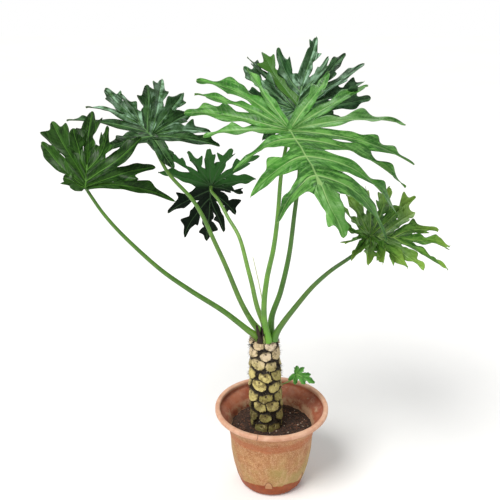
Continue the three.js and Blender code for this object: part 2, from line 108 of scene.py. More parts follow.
class Shader:
    """Adds nodes to one tree and links them, with values or other nodes' outputs as inputs."""

    def __init__(self, tree):
        self.tree = tree

    def put(self, socket, value):
        if isinstance(value, bpy.types.NodeSocket):
            self.tree.links.new(value, socket)
        elif isinstance(value, tuple) and len(value) == 3 and socket.type == "RGBA":
            socket.default_value = (*value, 1)
        else:
            socket.default_value = value

    def feed(self, made, **inputs):
        """Fills a node's inputs by name, with _ for each space in a name."""
        for key, value in inputs.items():
            self.put(made.inputs[key.replace("_", " ")], value)

    def node(self, kind, settings=None, **inputs):
        made = self.tree.nodes.new(kind)
        for key, value in (settings or {}).items():
            setattr(made, key, value)
        self.feed(made, **inputs)
        return made

    def maths(self, operation, *values):
        made = self.tree.nodes.new("ShaderNodeMath")
        made.operation = operation
        for socket, value in zip(made.inputs, values):
            self.put(socket, value)
        return made.outputs[0]

    def times(self, a, b):
        return self.maths("MULTIPLY", a, b)

    def plus(self, a, b):
        return self.maths("ADD", a, b)

    def minus(self, a, b):
        return self.maths("SUBTRACT", a, b)

    def split(self, vector):
        return self.node("ShaderNodeSeparateXYZ", None, Vector=vector).outputs

    def step(self, value, low, high, to_low=0.0, to_high=1.0):
        made = self.tree.nodes.new("ShaderNodeMapRange")
        made.interpolation_type = "SMOOTHSTEP"
        for key, number in (
            ("Value", value),
            ("From Min", low),
            ("From Max", high),
            ("To Min", to_low),
            ("To Max", to_high),
        ):
            self.put(made.inputs[key], number)
        return made.outputs["Result"]

    def mix(self, share, a, b):
        made = self.tree.nodes.new("ShaderNodeMix")
        made.data_type = "RGBA"
        for socket, value in zip(MIX_COLOUR_INPUTS, (share, a, b)):
            self.put(made.inputs[socket], value)
        return made.outputs[MIX_COLOUR_OUTPUT]

    def noise(self, place, scale, detail=4.0, roughness=0.55, distortion=0.0):
        made = self.node(
            "ShaderNodeTexNoise", None,
            Vector=place, Scale=scale, Detail=detail, Roughness=roughness, Distortion=distortion,
        )
        return made.outputs["Fac"]

    def relief(self, surface, strength, distance, height):
        made = self.node(
            "ShaderNodeBump", None, Strength=strength, Distance=distance, Height=height
        )
        self.feed(surface, Normal=made.outputs["Normal"])

    def attribute(self, name):
        return self.node("ShaderNodeAttribute", {"attribute_name": name})


def new_group(name, inputs, outputs):
    """An empty shader node group with named sockets, each given as (name, kind, start value)."""
    group = bpy.data.node_groups.new(name, "ShaderNodeTree")
    for label, kind, start in inputs:
        socket = group.interface.new_socket(label, in_out="INPUT", socket_type=kind)
        if start is not None:
            socket.default_value = start
    for label, kind in outputs:
        group.interface.new_socket(label, in_out="OUTPUT", socket_type=kind)
    shader = Shader(group)
    return group, shader, shader.node("NodeGroupInput"), shader.node("NodeGroupOutput")


def new_material(name):
    material = bpy.data.materials.new(name)
    material.use_nodes = True
    shader = Shader(material.node_tree)
    surface = material.node_tree.nodes["Principled BSDF"]
    place = shader.node("ShaderNodeTexCoord").outputs["Object"]
    return material, shader, surface, place


def use_group(shader, group, **inputs):
    return shader.node("ShaderNodeGroup", {"node_tree": group}, **inputs)


NUMBER, COLOUR, PLACE = "NodeSocketFloat", "NodeSocketColor", "NodeSocketVector"

# %% [markdown]
# ## Shared surface effects
#
# Four effects turn up in many of this plant's finishes, so each is a node group: a blotchy change
# between two colours, a fine grain for the bump, a film on what looks up, which is dust on the pot
# and painted sheen on the blades, and the web of veins in a blade.

# %% Mottle: blotches between two colours
mottle, g, given, result = new_group(
    "Mottle",
    [
        ("Place", PLACE, None),
        ("Scale", NUMBER, 20.0),
        ("Sharpness", NUMBER, 0.3),
        ("One", COLOUR, None),
        ("Other", COLOUR, None),
    ],
    [("Colour", COLOUR), ("Mask", NUMBER)],
)
broad = g.noise(given.outputs["Place"], given.outputs["Scale"], 5.0, 0.6, 0.4)
half_band = g.times(g.minus(1.0, given.outputs["Sharpness"]), 0.25)
blotch = g.step(broad, g.minus(0.5, half_band), g.plus(0.5, half_band))
g.feed(result, Mask=blotch)
g.feed(result, Colour=g.mix(blotch, given.outputs["One"], given.outputs["Other"]))


def mottled(shader, place, scale, sharpness, one, other):
    """A colour that changes in blotches between two."""
    made = use_group(
        shader, mottle, Place=place, Scale=scale, Sharpness=sharpness, One=one, Other=other
    )
    return made.outputs["Colour"]


# %% Grain: fine bumps at two sizes
grain, g, given, result = new_group(
    "Grain",
    [("Place", PLACE, None), ("Scale", NUMBER, 200.0), ("Pits", NUMBER, 0.3)],
    [("Height", NUMBER)],
)
fine = g.noise(given.outputs["Place"], given.outputs["Scale"], 6.0, 0.6)
cells = g.node("ShaderNodeTexVoronoi", None, Vector=given.outputs["Place"])
g.feed(cells, Scale=g.times(given.outputs["Scale"], 0.6))
pits = g.times(g.step(cells.outputs["Distance"], 0.0, 0.35), given.outputs["Pits"])
g.feed(result, Height=g.plus(fine, pits))

# %% Dust and painted sheen: a film on what looks up
dust_and_sheen, g, given, result = new_group(
    "Dust And Sheen",
    [("Place", PLACE, None), ("Amount", NUMBER, 0.3)],
    [("Mask", NUMBER)],
)
facing = g.node("ShaderNodeNewGeometry").outputs["Normal"]
upward = g.split(facing)["Z"]
patchy = g.noise(given.outputs["Place"], 38.0, 6.0, 0.65)
# On the pot this film is dust; on the blades it is a painted sheen, the sky's reflection.
dust_and_sheen_film = g.times(g.step(upward, 0.1, 0.95), g.step(patchy, 0.35, 0.7))
g.feed(result, Mask=g.times(dust_and_sheen_film, given.outputs["Amount"]))

# %% [markdown]
# ### Veins
#
# Every corner of a blade's mesh knows where it lies in its own lobe: how far along the rib, how
# far to the side of it, and what share of the lobe's length that is. The rib is then a thin band
# around zero, and the side veins are slanting stripes that start at the rib and run to the edge.

# %% Veins: ribs, side veins and the quilting between them
veins, g, given, result = new_group(
    "Veins",
    [("Spacing", NUMBER, 0.011), ("Rib Width", NUMBER, 0.0018)],
    [("Rib", NUMBER), ("Side", NUMBER), ("Height", NUMBER)],
)
lobe_place = g.node("ShaderNodeSeparateXYZ", None, Vector=g.attribute("lobe_place").outputs["Vector"])
along, across, share = lobe_place.outputs
aside = g.maths("ABSOLUTE", across)
rib_half = g.times(given.outputs["Rib Width"], g.step(share, 0.0, 0.6, 2.1, 0.6))
lobe_rib = g.minus(1.0, g.step(g.maths("DIVIDE", aside, rib_half), 0.45, 1.3))
from_midrib = g.attribute("midrib_gap").outputs["Fac"]
midrib_half = g.times(given.outputs["Rib Width"], 2.0)
midrib = g.maths(
    "SUBTRACT", 1.0, g.step(g.maths("DIVIDE", from_midrib, midrib_half), 0.45, 1.3)
)
rib = g.maths("MAXIMUM", lobe_rib, midrib)
wobble = g.noise(g.node("ShaderNodeTexCoord").outputs["Object"], 60.0, 2.0)
slant = g.minus(along, g.times(aside, 0.9))
turns = g.maths("DIVIDE", slant, given.outputs["Spacing"])
turns = g.plus(turns, g.times(wobble, 0.9))
wave = g.maths("ABSOLUTE", g.maths("SINE", g.times(turns, math.pi)))
side_vein = g.minus(1.0, g.step(wave, 0.06, 0.28))
g.feed(result, Rib=rib)
g.feed(result, Side=side_vein)
sunk = g.plus(g.times(rib, 1.0), g.times(side_vein, 0.35))
g.feed(result, Height=g.minus(g.times(wave, 0.5), sunk))
print("groups:", [group.name for group in bpy.data.node_groups])

# %% [markdown]
# ## Camera, light and floor
#
# The view is from the front, a little above the leaves, with a lens longer than normal so that the
# pot keeps its true proportions. Large soft lamps stand for an overcast sky.

# %% Camera
scene = bpy.context.scene
camera = bpy.data.objects.new("camera", bpy.data.cameras.new("camera"))
camera.data.sensor_width = 36
camera.data.lens = 59.0
camera.location = (-0.057, -1.845, 1.42)
camera.rotation_euler = (math.radians(90 - 22.1), 0, 0)
scene.collection.objects.link(camera)
scene.camera = camera
scene.view_settings.view_transform = "Standard"

# %% World, lamps and floor
world = bpy.data.worlds.new("soft_sky")
scene.world = world
world.use_nodes = True
sky = Shader(world.node_tree)
backdrop = world.node_tree.nodes["Background"]
backdrop.inputs["Color"].default_value = (1.0, 1.0, 1.0, 1)
seen = sky.node("ShaderNodeLightPath").outputs["Is Camera Ray"]
sky.feed(backdrop, Strength=sky.plus(0.42, sky.times(seen, 0.58)))


def softbox(name, place, target, size, power, colour):
    lamp = bpy.data.lights.new(name, "AREA")
    lamp.shape = "DISK"
    lamp.size = size
    lamp.energy = power
    lamp.color = colour
    made = bpy.data.objects.new(name, lamp)
    made.location = place
    made.rotation_euler = (Vector(target) - Vector(place)).to_track_quat("-Z", "Y").to_euler()
    scene.collection.objects.link(made)


middle = (0, 0, 0.7)
softbox("fill", (2.2, -2.2, 1.4), middle, 2.0, 12, (0.96, 0.98, 1.0))
softbox("back", (0.8, 2.2, 2.6), middle, 1.6, 14, (1.0, 1.0, 1.0))
sun_lamp = bpy.data.lights.new("hazy_sun", "SUN")
sun_lamp.energy = 2.7
sun_lamp.angle = math.radians(30)
sun_lamp.color = (1.0, 0.985, 0.95)
sun = bpy.data.objects.new("hazy_sun", sun_lamp)
sun.rotation_euler = (Vector(middle) - Vector((-1.3, -1.4, 3.4))).to_track_quat("-Z", "Y").to_euler()
scene.collection.objects.link(sun)

floor_mesh = bpy.data.meshes.new("floor")
floor_mesh.from_pydata([(-9, -9, 0), (9, -9, 0), (9, 9, 0), (-9, 9, 0)], [], [(0, 1, 2, 3)])
floor = bpy.data.objects.new("floor", floor_mesh)
scene.collection.objects.link(floor)
floor_paint, shader, surface, place = new_material("pale_floor")
tone = use_group(
    shader, mottle, Place=place, Scale=1.5, One=(0.93, 0.93, 0.93), Other=(0.95, 0.95, 0.95)
)
shader.feed(surface, Base_Color=tone.outputs["Colour"])
shader.feed(surface, Roughness=0.9)
floor_mesh.materials.append(floor_paint)

# %% [markdown]
# ## The pot
#
# The pot is injection moulded: a tapered wall with a stepped shoulder, a flare and a flat-topped
# lip. A turned profile gives that in one go. The profile is the CAD pot's own, rounded at its
# corners, and the arched drain marks near the foot are pressed in by moving points inwards.

# %% Pot sizes
POT_HEIGHT, POT_WALL, POT_FLOOR = 230 * MM, 5 * MM, 7 * MM
FOOT_RADIUS, BODY_RADIUS, RIM_RADIUS = 76 * MM, 110 * MM, 148 * MM
RIM_WIDTH, LIP_HEIGHT = 12 * MM, 11 * MM
SHOULDER_HEIGHT, SHOULDER_STEP = 165 * MM, 3 * MM
ARCHES, ARCH_TURN = 6, math.radians(-5)
ARCH_WIDTH, ARCH_HEIGHT, ARCH_RISE = 22 * MM, 26 * MM, 30 * MM
SOIL_HEIGHT = 175 * MM

# %% The wall's outside and inside
spread = BODY_RADIUS - FOOT_RADIUS
outside_knots = [
    (FOOT_RADIUS, 0),
    (FOOT_RADIUS + 0.24 * spread, 0.06 * SHOULDER_HEIGHT),
    (FOOT_RADIUS + 0.48 * spread, 0.2 * SHOULDER_HEIGHT),
    (FOOT_RADIUS + 0.72 * spread, 0.4 * SHOULDER_HEIGHT),
    (FOOT_RADIUS + 0.9 * spread, 0.64 * SHOULDER_HEIGHT),
    (BODY_RADIUS, SHOULDER_HEIGHT),
]
flare = RIM_RADIUS - BODY_RADIUS - SHOULDER_STEP
flare_height = POT_HEIGHT - LIP_HEIGHT - SHOULDER_HEIGHT


def outside_radius(z):
    """The wall's outside at a height, smooth between its knots, with the step and the flare."""
    wall = np.interp(z, [k[1] for k in outside_knots], [k[0] for k in outside_knots])
    step = SHOULDER_STEP * smooth_step(SHOULDER_HEIGHT - 1 * MM, SHOULDER_HEIGHT + 1.5 * MM, z)
    rise = np.clip((z - SHOULDER_HEIGHT - 2 * MM) / (flare_height - 2 * MM), 0, 1)
    bead = 1.2 * MM * np.exp(-(((z - SHOULDER_HEIGHT + 9 * MM) / (2 * MM)) ** 2))
    return float(wall + step + flare * rise**2.2 + bead)


def pot_profile():
    """Points of the wall's section from the foot's centre round the rim to the inside's centre."""
    profile = [(0.0, 0.0), (0.5 * FOOT_RADIUS, 0.0), (FOOT_RADIUS - 3 * MM, 0.0)]
    corner = [(FOOT_RADIUS - 3 * MM * math.cos(a), 3 * MM - 3 * MM * math.sin(a)) for a in (1.2, 0.8)]
    profile += corner
    for z in np.arange(2 * MM, POT_HEIGHT - LIP_HEIGHT, 2.0 * MM):
        profile.append((outside_radius(z), z))
    lip_low, top = POT_HEIGHT - LIP_HEIGHT, POT_HEIGHT
    profile += [(RIM_RADIUS - 0.8 * MM, lip_low), (RIM_RADIUS, lip_low + 1.5 * MM)]
    profile += [(RIM_RADIUS, top - 3 * MM), (RIM_RADIUS - 1 * MM, top - 0.8 * MM)]
    profile += [(RIM_RADIUS - 3 * MM, top), (RIM_RADIUS - RIM_WIDTH + 2 * MM, top)]
    profile += [(RIM_RADIUS - RIM_WIDTH + 0.5 * MM, top - 1 * MM)]
    profile += [(RIM_RADIUS - RIM_WIDTH - 1 * MM, top - 5 * MM)]
    for z in np.arange(POT_HEIGHT - LIP_HEIGHT - 4 * MM, POT_FLOOR, -3 * MM):
        profile.append((outside_radius(z) - POT_WALL, z))
    profile += [(outside_radius(POT_FLOOR) - POT_WALL, POT_FLOOR), (0.0, POT_FLOOR)]
    return profile


profile = pot_profile()
print("pot profile:", len(profile), "points, rim at", POT_HEIGHT)

# %% Turn the profile and press the arches in
POT_TURNS = 240


def build_pot():
    points, arch_mask = [(0, 0, 0)], [0.0]
    middle_ring = profile[1:-1]
    for radius, z in middle_ring:
        for j in range(POT_TURNS):
            turn = 2 * math.pi * j / POT_TURNS
            bow = 0.5 * MM * math.sin(2 * turn + 1) * z / POT_HEIGHT
            r, mark = radius + bow, 0.0
            on_wall = radius > outside_radius(z) - 1 * MM
            if on_wall and ARCH_RISE - 2 * MM < z < ARCH_RISE + ARCH_HEIGHT + 2 * MM:
                pitch = 2 * math.pi / ARCHES
                off = ((turn + math.pi / 2 - ARCH_TURN + pitch / 2) % pitch - pitch / 2) * radius
                inside = (off / (ARCH_WIDTH / 2)) ** 2 + (max(0, z - ARCH_RISE) / ARCH_HEIGHT) ** 2
                mark = float(1 - smooth_step(0.8, 1.15, inside)) * float(
                    smooth_step(ARCH_RISE - 1 * MM, ARCH_RISE + 1 * MM, z)
                )
                r -= 1.5 * MM * mark
            points.append((r * math.cos(turn), r * math.sin(turn), z))
            arch_mask.append(mark)
    points.append((0, 0, POT_FLOOR))
    arch_mask.append(0.0)
    faces = [tuple(i + 1 for i in face) for face in ring_faces(len(middle_ring), POT_TURNS)]
    last = 1 + (len(middle_ring) - 1) * POT_TURNS
    for j in range(POT_TURNS):
        faces.append((0, 1 + (j + 1) % POT_TURNS, 1 + j))
        faces.append((len(points) - 1, last + j, last + (j + 1) % POT_TURNS))
    return points, faces, arch_mask


# %% [markdown]
# ### Moulded plastic that has stood outdoors
#
# The plastic was tinted like fired clay. Sun has bleached the lip, lime and algae stain the wall,
# rain has washed it in streaks, and a ragged dark red-brown band runs round the foot, higher at
# the front.
# Each of these is a mask of height broken up by noise, and the masks are laid over one another.

# %% Pot material
def pot_finish():
    material, s, surface, place = new_material("weathered_pot")
    x, y, height = s.split(place)
    body = mottled(s, place, 14.0, 0.1, (0.42, 0.165, 0.062), (0.50, 0.26, 0.11))
    fine = mottled(s, place, 70.0, 0.2, (0.28, 0.105, 0.040), (0.62, 0.36, 0.18))
    colour = s.mix(0.35, body, fine)
    speckle = s.noise(place, 300.0, 3.0, 0.7)
    colour = s.mix(s.step(speckle, 0.52, 0.64, 0.0, 0.45), colour, (0.76, 0.50, 0.31))
    colour = s.mix(s.step(speckle, 0.48, 0.36, 0.0, 0.45), colour, (0.24, 0.080, 0.030))
    stretched = s.node("ShaderNodeMapping", None, Vector=place)
    s.feed(stretched, Scale=(1.0, 1.0, 0.12))
    runs = s.noise(stretched.outputs["Vector"], 60.0, 5.0, 0.6)
    wandering = s.noise(place, 30.0, 5.0, 0.65)
    uneven = s.times(s.minus(wandering, 0.5), 0.03)
    level = s.plus(height, uneven)
    algae = s.times(s.step(s.noise(place, 9.0, 6.0, 0.65), 0.38, 0.66), 0.62)
    low_half = s.step(height, 0.17, 0.08)
    colour = s.mix(s.times(algae, low_half), colour, (0.33, 0.30, 0.085))
    red_band = s.times(s.step(level, 0.150, 0.162), s.step(level, 0.185, 0.172))
    colour = s.mix(s.times(red_band, 0.55), colour, (0.46, 0.13, 0.055))
    washed = s.times(s.step(runs, 0.52, 0.68), s.step(height, 0.20, 0.12))
    colour = s.mix(s.times(washed, 0.30), colour, (0.70, 0.45, 0.27))
    red_run = s.times(s.step(runs, 0.44, 0.32), s.step(height, 0.10, 0.155))
    colour = s.mix(s.times(red_run, 0.5), colour, (0.45, 0.15, 0.07))
    lip = s.step(height, 0.215, 0.2205)
    lip_tone = mottled(s, place, 35.0, 0.2, (0.58, 0.29, 0.18), (0.74, 0.45, 0.31))
    colour = s.mix(lip, colour, lip_tone)
    # A ragged dark red-brown band round the foot, reaching higher at the front.
    foot_band_top = s.step(y, -0.02, -0.085, 0.020, 0.044)
    ragged = s.plus(height, s.times(uneven, 0.9))
    foot = s.step(s.minus(foot_band_top, ragged), 0.0, 0.004)
    from_axis = s.maths("SQRT", s.plus(s.times(x, x), s.times(y, y)))
    facing = s.node("ShaderNodeNewGeometry").outputs["Normal"]
    nx, ny, _ = s.split(facing)
    along_radius = s.plus(s.times(x, nx), s.times(y, ny))
    outward = s.maths("DIVIDE", along_radius, from_axis)
    inner = s.times(s.step(outward, -0.1, -0.4), s.step(height, 0.226, 0.218))
    inside_tone = mottled(s, place, 22.0, 0.3, (0.29, 0.070, 0.034), (0.45, 0.145, 0.072))
    colour = s.mix(inner, colour, inside_tone)
    lime = s.times(s.step(s.noise(place, 26.0, 6.0, 0.7), 0.55, 0.66), inner)
    colour = s.mix(s.times(lime, 0.6), colour, (0.58, 0.44, 0.28))
    crust = s.times(s.step(level, 0.196, 0.184), s.step(wandering, 0.40, 0.56))
    colour = s.mix(s.times(s.times(crust, inner), 0.7), colour, (0.62, 0.42, 0.26))
    front = s.step(y, -0.08, -0.10)
    nick_side = s.minus(s.plus(x, 0.040), s.times(height, 0.25))
    nick = s.step(s.maths("ABSOLUTE", s.plus(nick_side, 0.055)), 0.0012, 0.0005)
    nick = s.times(s.times(nick, front), lip)
    colour = s.mix(s.times(nick, 0.85), colour, (0.10, 0.035, 0.02))
    arch = s.attribute("arch").outputs["Fac"]
    arch_edge = s.times(arch, s.minus(1.0, arch))
    colour = s.mix(s.step(arch, 0.5, 0.95, 0.0, 0.75), colour, (0.56, 0.30, 0.15))
    colour = s.mix(s.times(arch_edge, 3.0), colour, (0.14, 0.035, 0.012))
    dust_and_sheen_mask = use_group(s, dust_and_sheen, Place=place, Amount=0.25).outputs["Mask"]
    colour = s.mix(dust_and_sheen_mask, colour, (0.66, 0.50, 0.38))
    foot_tone = mottled(s, place, 60.0, 0.2, (0.25, 0.042, 0.011), (0.34, 0.075, 0.024))
    by_arch = s.minus(1.0, s.times(arch, 0.8))
    colour = s.mix(s.times(s.times(foot, by_arch), 0.92), colour, foot_tone)
    s.feed(surface, Specular_IOR_Level=0.25)
    s.feed(surface, Base_Color=colour)
    s.feed(surface, Roughness=s.step(wandering, 0.3, 0.7, 0.48, 0.75))
    height_map = use_group(s, grain, Place=place, Scale=420.0, Pits=0.25).outputs["Height"]
    height_map = s.plus(height_map, s.times(wandering, 1.5))
    s.relief(surface, 0.25, 0.0012, height_map)
    return material


points, faces, arch_mask = build_pot()
pot = make_piece(
    "moulded_pot", "pot", points, faces, pot_finish(), {"arch": arch_mask}
)

# %% [markdown]
# ### Drain holes
#
# Five round holes go through the floor. A boolean cut is the direct way, and it is applied at once
# so that the piece is plain mesh afterwards.

# %% Cut the drain holes
DRAIN_HOLES, DRAIN_HOLE_RADIUS, DRAIN_CIRCLE = 5, 6 * MM, 46 * MM


def cut_drain_holes(target):
    points, faces = [], []
    for i in range(DRAIN_HOLES):
        turn = 2 * math.pi * (i + 0.25) / DRAIN_HOLES
        start = len(points)
        for z in (-0.01, 0.02):
            for j in range(24):
                a = 2 * math.pi * j / 24
                points.append(
                    (
                        DRAIN_CIRCLE * math.cos(turn) + DRAIN_HOLE_RADIUS * math.cos(a),
                        DRAIN_CIRCLE * math.sin(turn) + DRAIN_HOLE_RADIUS * math.sin(a),
                        z,
                    )
                )
        faces += [tuple(k + start for k in face) for face in ring_faces(2, 24)]
        faces.append(tuple(start + j for j in reversed(range(24))))
        faces.append(tuple(start + 24 + j for j in range(24)))
    mesh = bpy.data.meshes.new("drill")
    mesh.from_pydata(points, [], faces)
    drill = bpy.data.objects.new("drill", mesh)
    scene.collection.objects.link(drill)
    cut = target.modifiers.new("holes", "BOOLEAN")
    cut.operation, cut.object, cut.solver = "DIFFERENCE", drill, "EXACT"
    bpy.context.view_layer.update()
    done = bpy.data.meshes.new_from_object(target.evaluated_get(bpy.context.evaluated_depsgraph_get()))
    target.modifiers.clear()
    target.data = done
    bpy.data.objects.remove(drill)
    print("pot after drilling:", len(done.polygons), "faces")


cut_drain_holes(pot)

# %% [markdown]
# ## The trunk
#
# Each fallen leaf left an oval scar that clasped the stem. The scars stand in staggered rows and
# press against each other, so the stem's skin is a tiling of ovals with dark, fibrous seams. The
# tiling is worked out from the two nearest scar centres: a point is on a seam where they are
# equally far away.

# %% Trunk sizes
TRUNK_TOP, TRUNK_BOTTOM = 430 * MM, 95 * MM
TRUNK_RADIUS, TRUNK_TOP_RADIUS = 40 * MM, 35 * MM
TRUNK_LEAN, TRUNK_X = -8 * MM, -13 * MM
SCAR_ROWS, SCARS_AROUND = 8, 6
SCAR_HALF_WIDTH, SCAR_HALF_HEIGHT = 22 * MM, 17 * MM
FIRST_SCAR = 12 * MM  # height of the lowest scars over the soil's middle
SCAR_PITCH = (TRUNK_TOP - SOIL_HEIGHT - FIRST_SCAR) / SCAR_ROWS


def trunk_centre(z):
    up = max(0.0, (z - SOIL_HEIGHT) / (TRUNK_TOP - SOIL_HEIGHT))
    return TRUNK_X + TRUNK_LEAN * up


def trunk_radius(z):
    up = max(0.0, (z - SOIL_HEIGHT) / (TRUNK_TOP - SOIL_HEIGHT))
    swell = 3 * MM * math.sin(math.pi * up)
    return TRUNK_RADIUS + (TRUNK_TOP_RADIUS - TRUNK_RADIUS) * up + swell


# %% Lay out the scars
dice = random.Random(7)
scars = []
for row in range(-1, SCAR_ROWS + 1):
    for k in range(SCARS_AROUND):
        turn = 2 * math.pi * (k - 0.5 * (row % 2)) / SCARS_AROUND + dice.uniform(-0.16, 0.16)
        z = SOIL_HEIGHT + FIRST_SCAR + row * SCAR_PITCH + dice.uniform(-5, 5) * MM
        scars.append((turn, z, dice.random(), dice.uniform(0.84, 1.16), dice.uniform(-0.2, 0.2)))
scar_turn, scar_z, scar_tone, scar_size, scar_tilt = np.array(scars).T
print("scars:", len(scars))


def scar_field(turn, z):
    """What a point of the skin is: (share of the way to its pad's rim, height in the pad, gap to the
    next pad, distance from the pad's dot in millimetres, the pad's tone)."""
    around = (turn - scar_turn + math.pi) % (2 * math.pi) - math.pi
    u = around * TRUNK_RADIUS
    v = z - scar_z + scar_tilt * u
    power = np.abs(u / SCAR_HALF_WIDTH) ** 2.1 + np.abs(v / SCAR_HALF_HEIGHT) ** 2.1
    far = power ** (1 / 2.1) / scar_size
    first, second = np.argpartition(far, 1)[:2]
    if far[first] > far[second]:
        first, second = second, first
    height = v[first] / SCAR_HALF_HEIGHT
    from_dot = math.hypot(u[first], v[first] - 0.30 * SCAR_HALF_HEIGHT) / MM
    return far[first], height, far[second] - far[first], from_dot, scar_tone[first]


# %% Build the trunk's skin
TRUNK_AROUND, TRUNK_LEVELS = 224, 250


def build_trunk():
    points, seam_and_shadow, dot, tone = [], [], [], []
    heights = np.linspace(TRUNK_BOTTOM, TRUNK_TOP, TRUNK_LEVELS)
    for level, z in enumerate(heights):
        for j in range(TRUNK_AROUND):
            turn = 2 * math.pi * j / TRUNK_AROUND
            rough = noise.noise(Vector((math.cos(turn) * 4, math.sin(turn) * 4, z * 90)))
            fine = noise.noise(Vector((math.cos(turn) * 14, math.sin(turn) * 14, z * 350)))
            to_rim, in_pad, gap, from_dot, shade = scar_field(turn + 0.05 * fine, z + 2.2 * MM * rough)
            outside = float(smooth_step(0.76, 0.95, to_rim + 0.14 * fine + 0.16 * rough))
            on_seam = max(outside, float(1 - smooth_step(0.04, 0.20, gap + 0.05 * fine)))
            on_dot = float(1 - smooth_step(1.6, 3.0, from_dot))
            shelf = 3.0 * (0.4 - 1.0 * in_pad) * (1 - on_seam)
            rim = 1.1 * math.exp(-(((to_rim - 0.80) / 0.09) ** 2))
            relief = shelf + rim - 3.4 * on_seam - 1.2 * on_dot + 0.6 * rough + 0.4 * fine
            showing = float(smooth_step(SOIL_HEIGHT - 6 * MM, SOIL_HEIGHT + 12 * MM, z))
            closing = 1 if 0 < level < TRUNK_LEVELS - 1 else 0.0
            r = trunk_radius(z) + relief * MM * showing * closing
            r -= 2.0 * MM * float(smooth_step(TRUNK_TOP - 5 * MM, TRUNK_TOP, z))
            points.append((trunk_centre(z) + r * math.cos(turn), r * math.sin(turn), z))
            # Painted shadow at the top of each pad, under the lower edge of the pad above. It is stored
            # with the seams and darkens the bark there.
            shaded = 0.6 * float(smooth_step(0.25, 0.80, in_pad)) + 0.25 * max(0.0, rough)
            seam_and_shadow.append(min(1.0, max(on_seam, shaded * float(smooth_step(0.2, 0.8, to_rim)))))
            dot.append(on_dot)
            tone.append(shade)
    faces = ring_faces(TRUNK_LEVELS, TRUNK_AROUND)
    points += [(trunk_centre(0), 0, TRUNK_BOTTOM), (trunk_centre(TRUNK_TOP), 0, TRUNK_TOP - 1 * MM)]
    for values in (seam_and_shadow, dot, tone):
        values += [0.0, 0.6]
    low, high = len(points) - 2, len(points) - 1
    last = (TRUNK_LEVELS - 1) * TRUNK_AROUND
    for j in range(TRUNK_AROUND):
        nxt = (j + 1) % TRUNK_AROUND
        faces.append((low, nxt, j))
        faces.append((high, last + j, last + nxt))
    return points, faces, seam_and_shadow, dot, tone


# %% [markdown]
# ### Fibres and root nubs
#
# Old leaf bases leave black fibres along the seams, and short pale aerial roots push out between
# the scars. They are thin bent cones, joined to the skin's mesh, because they grew from it.

# %% Grow the fibres
CONE_SIDES, CONE_STEPS = 5, 4


def thin_cone(start, direction, bend, length, radius):
    """Points and faces of a bent cone that ends in a tip."""
    sides, steps = CONE_SIDES, CONE_STEPS
    direction = Vector(direction).normalized()
    side = direction.cross(Vector((0.31, 0.22, 0.93))).normalized()
    up = side.cross(direction)
    points = []
    for i in range(steps + 1):
        t = i / steps
        centre = Vector(start) + direction * length * t + Vector(bend) * t * t
        r = radius * (1 - 0.92 * t)
        for j in range(sides):
            a = 2 * math.pi * j / sides
            points.append(tuple(centre + side * r * math.cos(a) + up * r * math.sin(a)))
    faces = ring_faces(steps + 1, sides)
    faces.append(tuple(reversed(range(sides))))
    faces.append(tuple(steps * sides + j for j in range(sides)))
    return points, faces


def grow_fibres(points, faces, seam_and_shadow, dot, tone):
    dice = random.Random(21)
    skin = [(p, s) for p, s in zip(points, seam_and_shadow) if s > 0.9 and p[2] > SOIL_HEIGHT + 8 * MM]
    for kind, count in (("fibre", 1200), ("nub", 40)):
        for _ in range(count):
            (x, y, z), _ = skin[dice.randrange(len(skin))]
            centre = trunk_centre(z)
            out = Vector((x - centre, y, 0)).normalized()
            if kind == "fibre":
                lean = Vector(
                    (dice.uniform(-0.6, 0.6), dice.uniform(-0.6, 0.6), dice.uniform(-0.9, 0.5))
                )
                length, radius = dice.uniform(3.5, 15) * MM, dice.uniform(0.3, 0.8) * MM
            else:
                lean = Vector((0, 0, dice.uniform(-0.4, 0.1)))
                length, radius = dice.uniform(2.0, 3.4) * MM, dice.uniform(0.9, 1.5) * MM
            bend = (0, 0, dice.uniform(-1.5, 0.5) * MM)
            new_points, new_faces = thin_cone((x, y, z), out * 0.8 + lean * 0.6, bend, length, radius)
            start = len(points)
            points += new_points
            faces += [tuple(k + start for k in face) for face in new_faces]
            seam_and_shadow += [1.0 if kind == "fibre" else 0.0] * len(new_points)
            dot += [0.0] * len(new_points)
            tone += [-1.0 if kind == "fibre" else 2.0] * len(new_points)
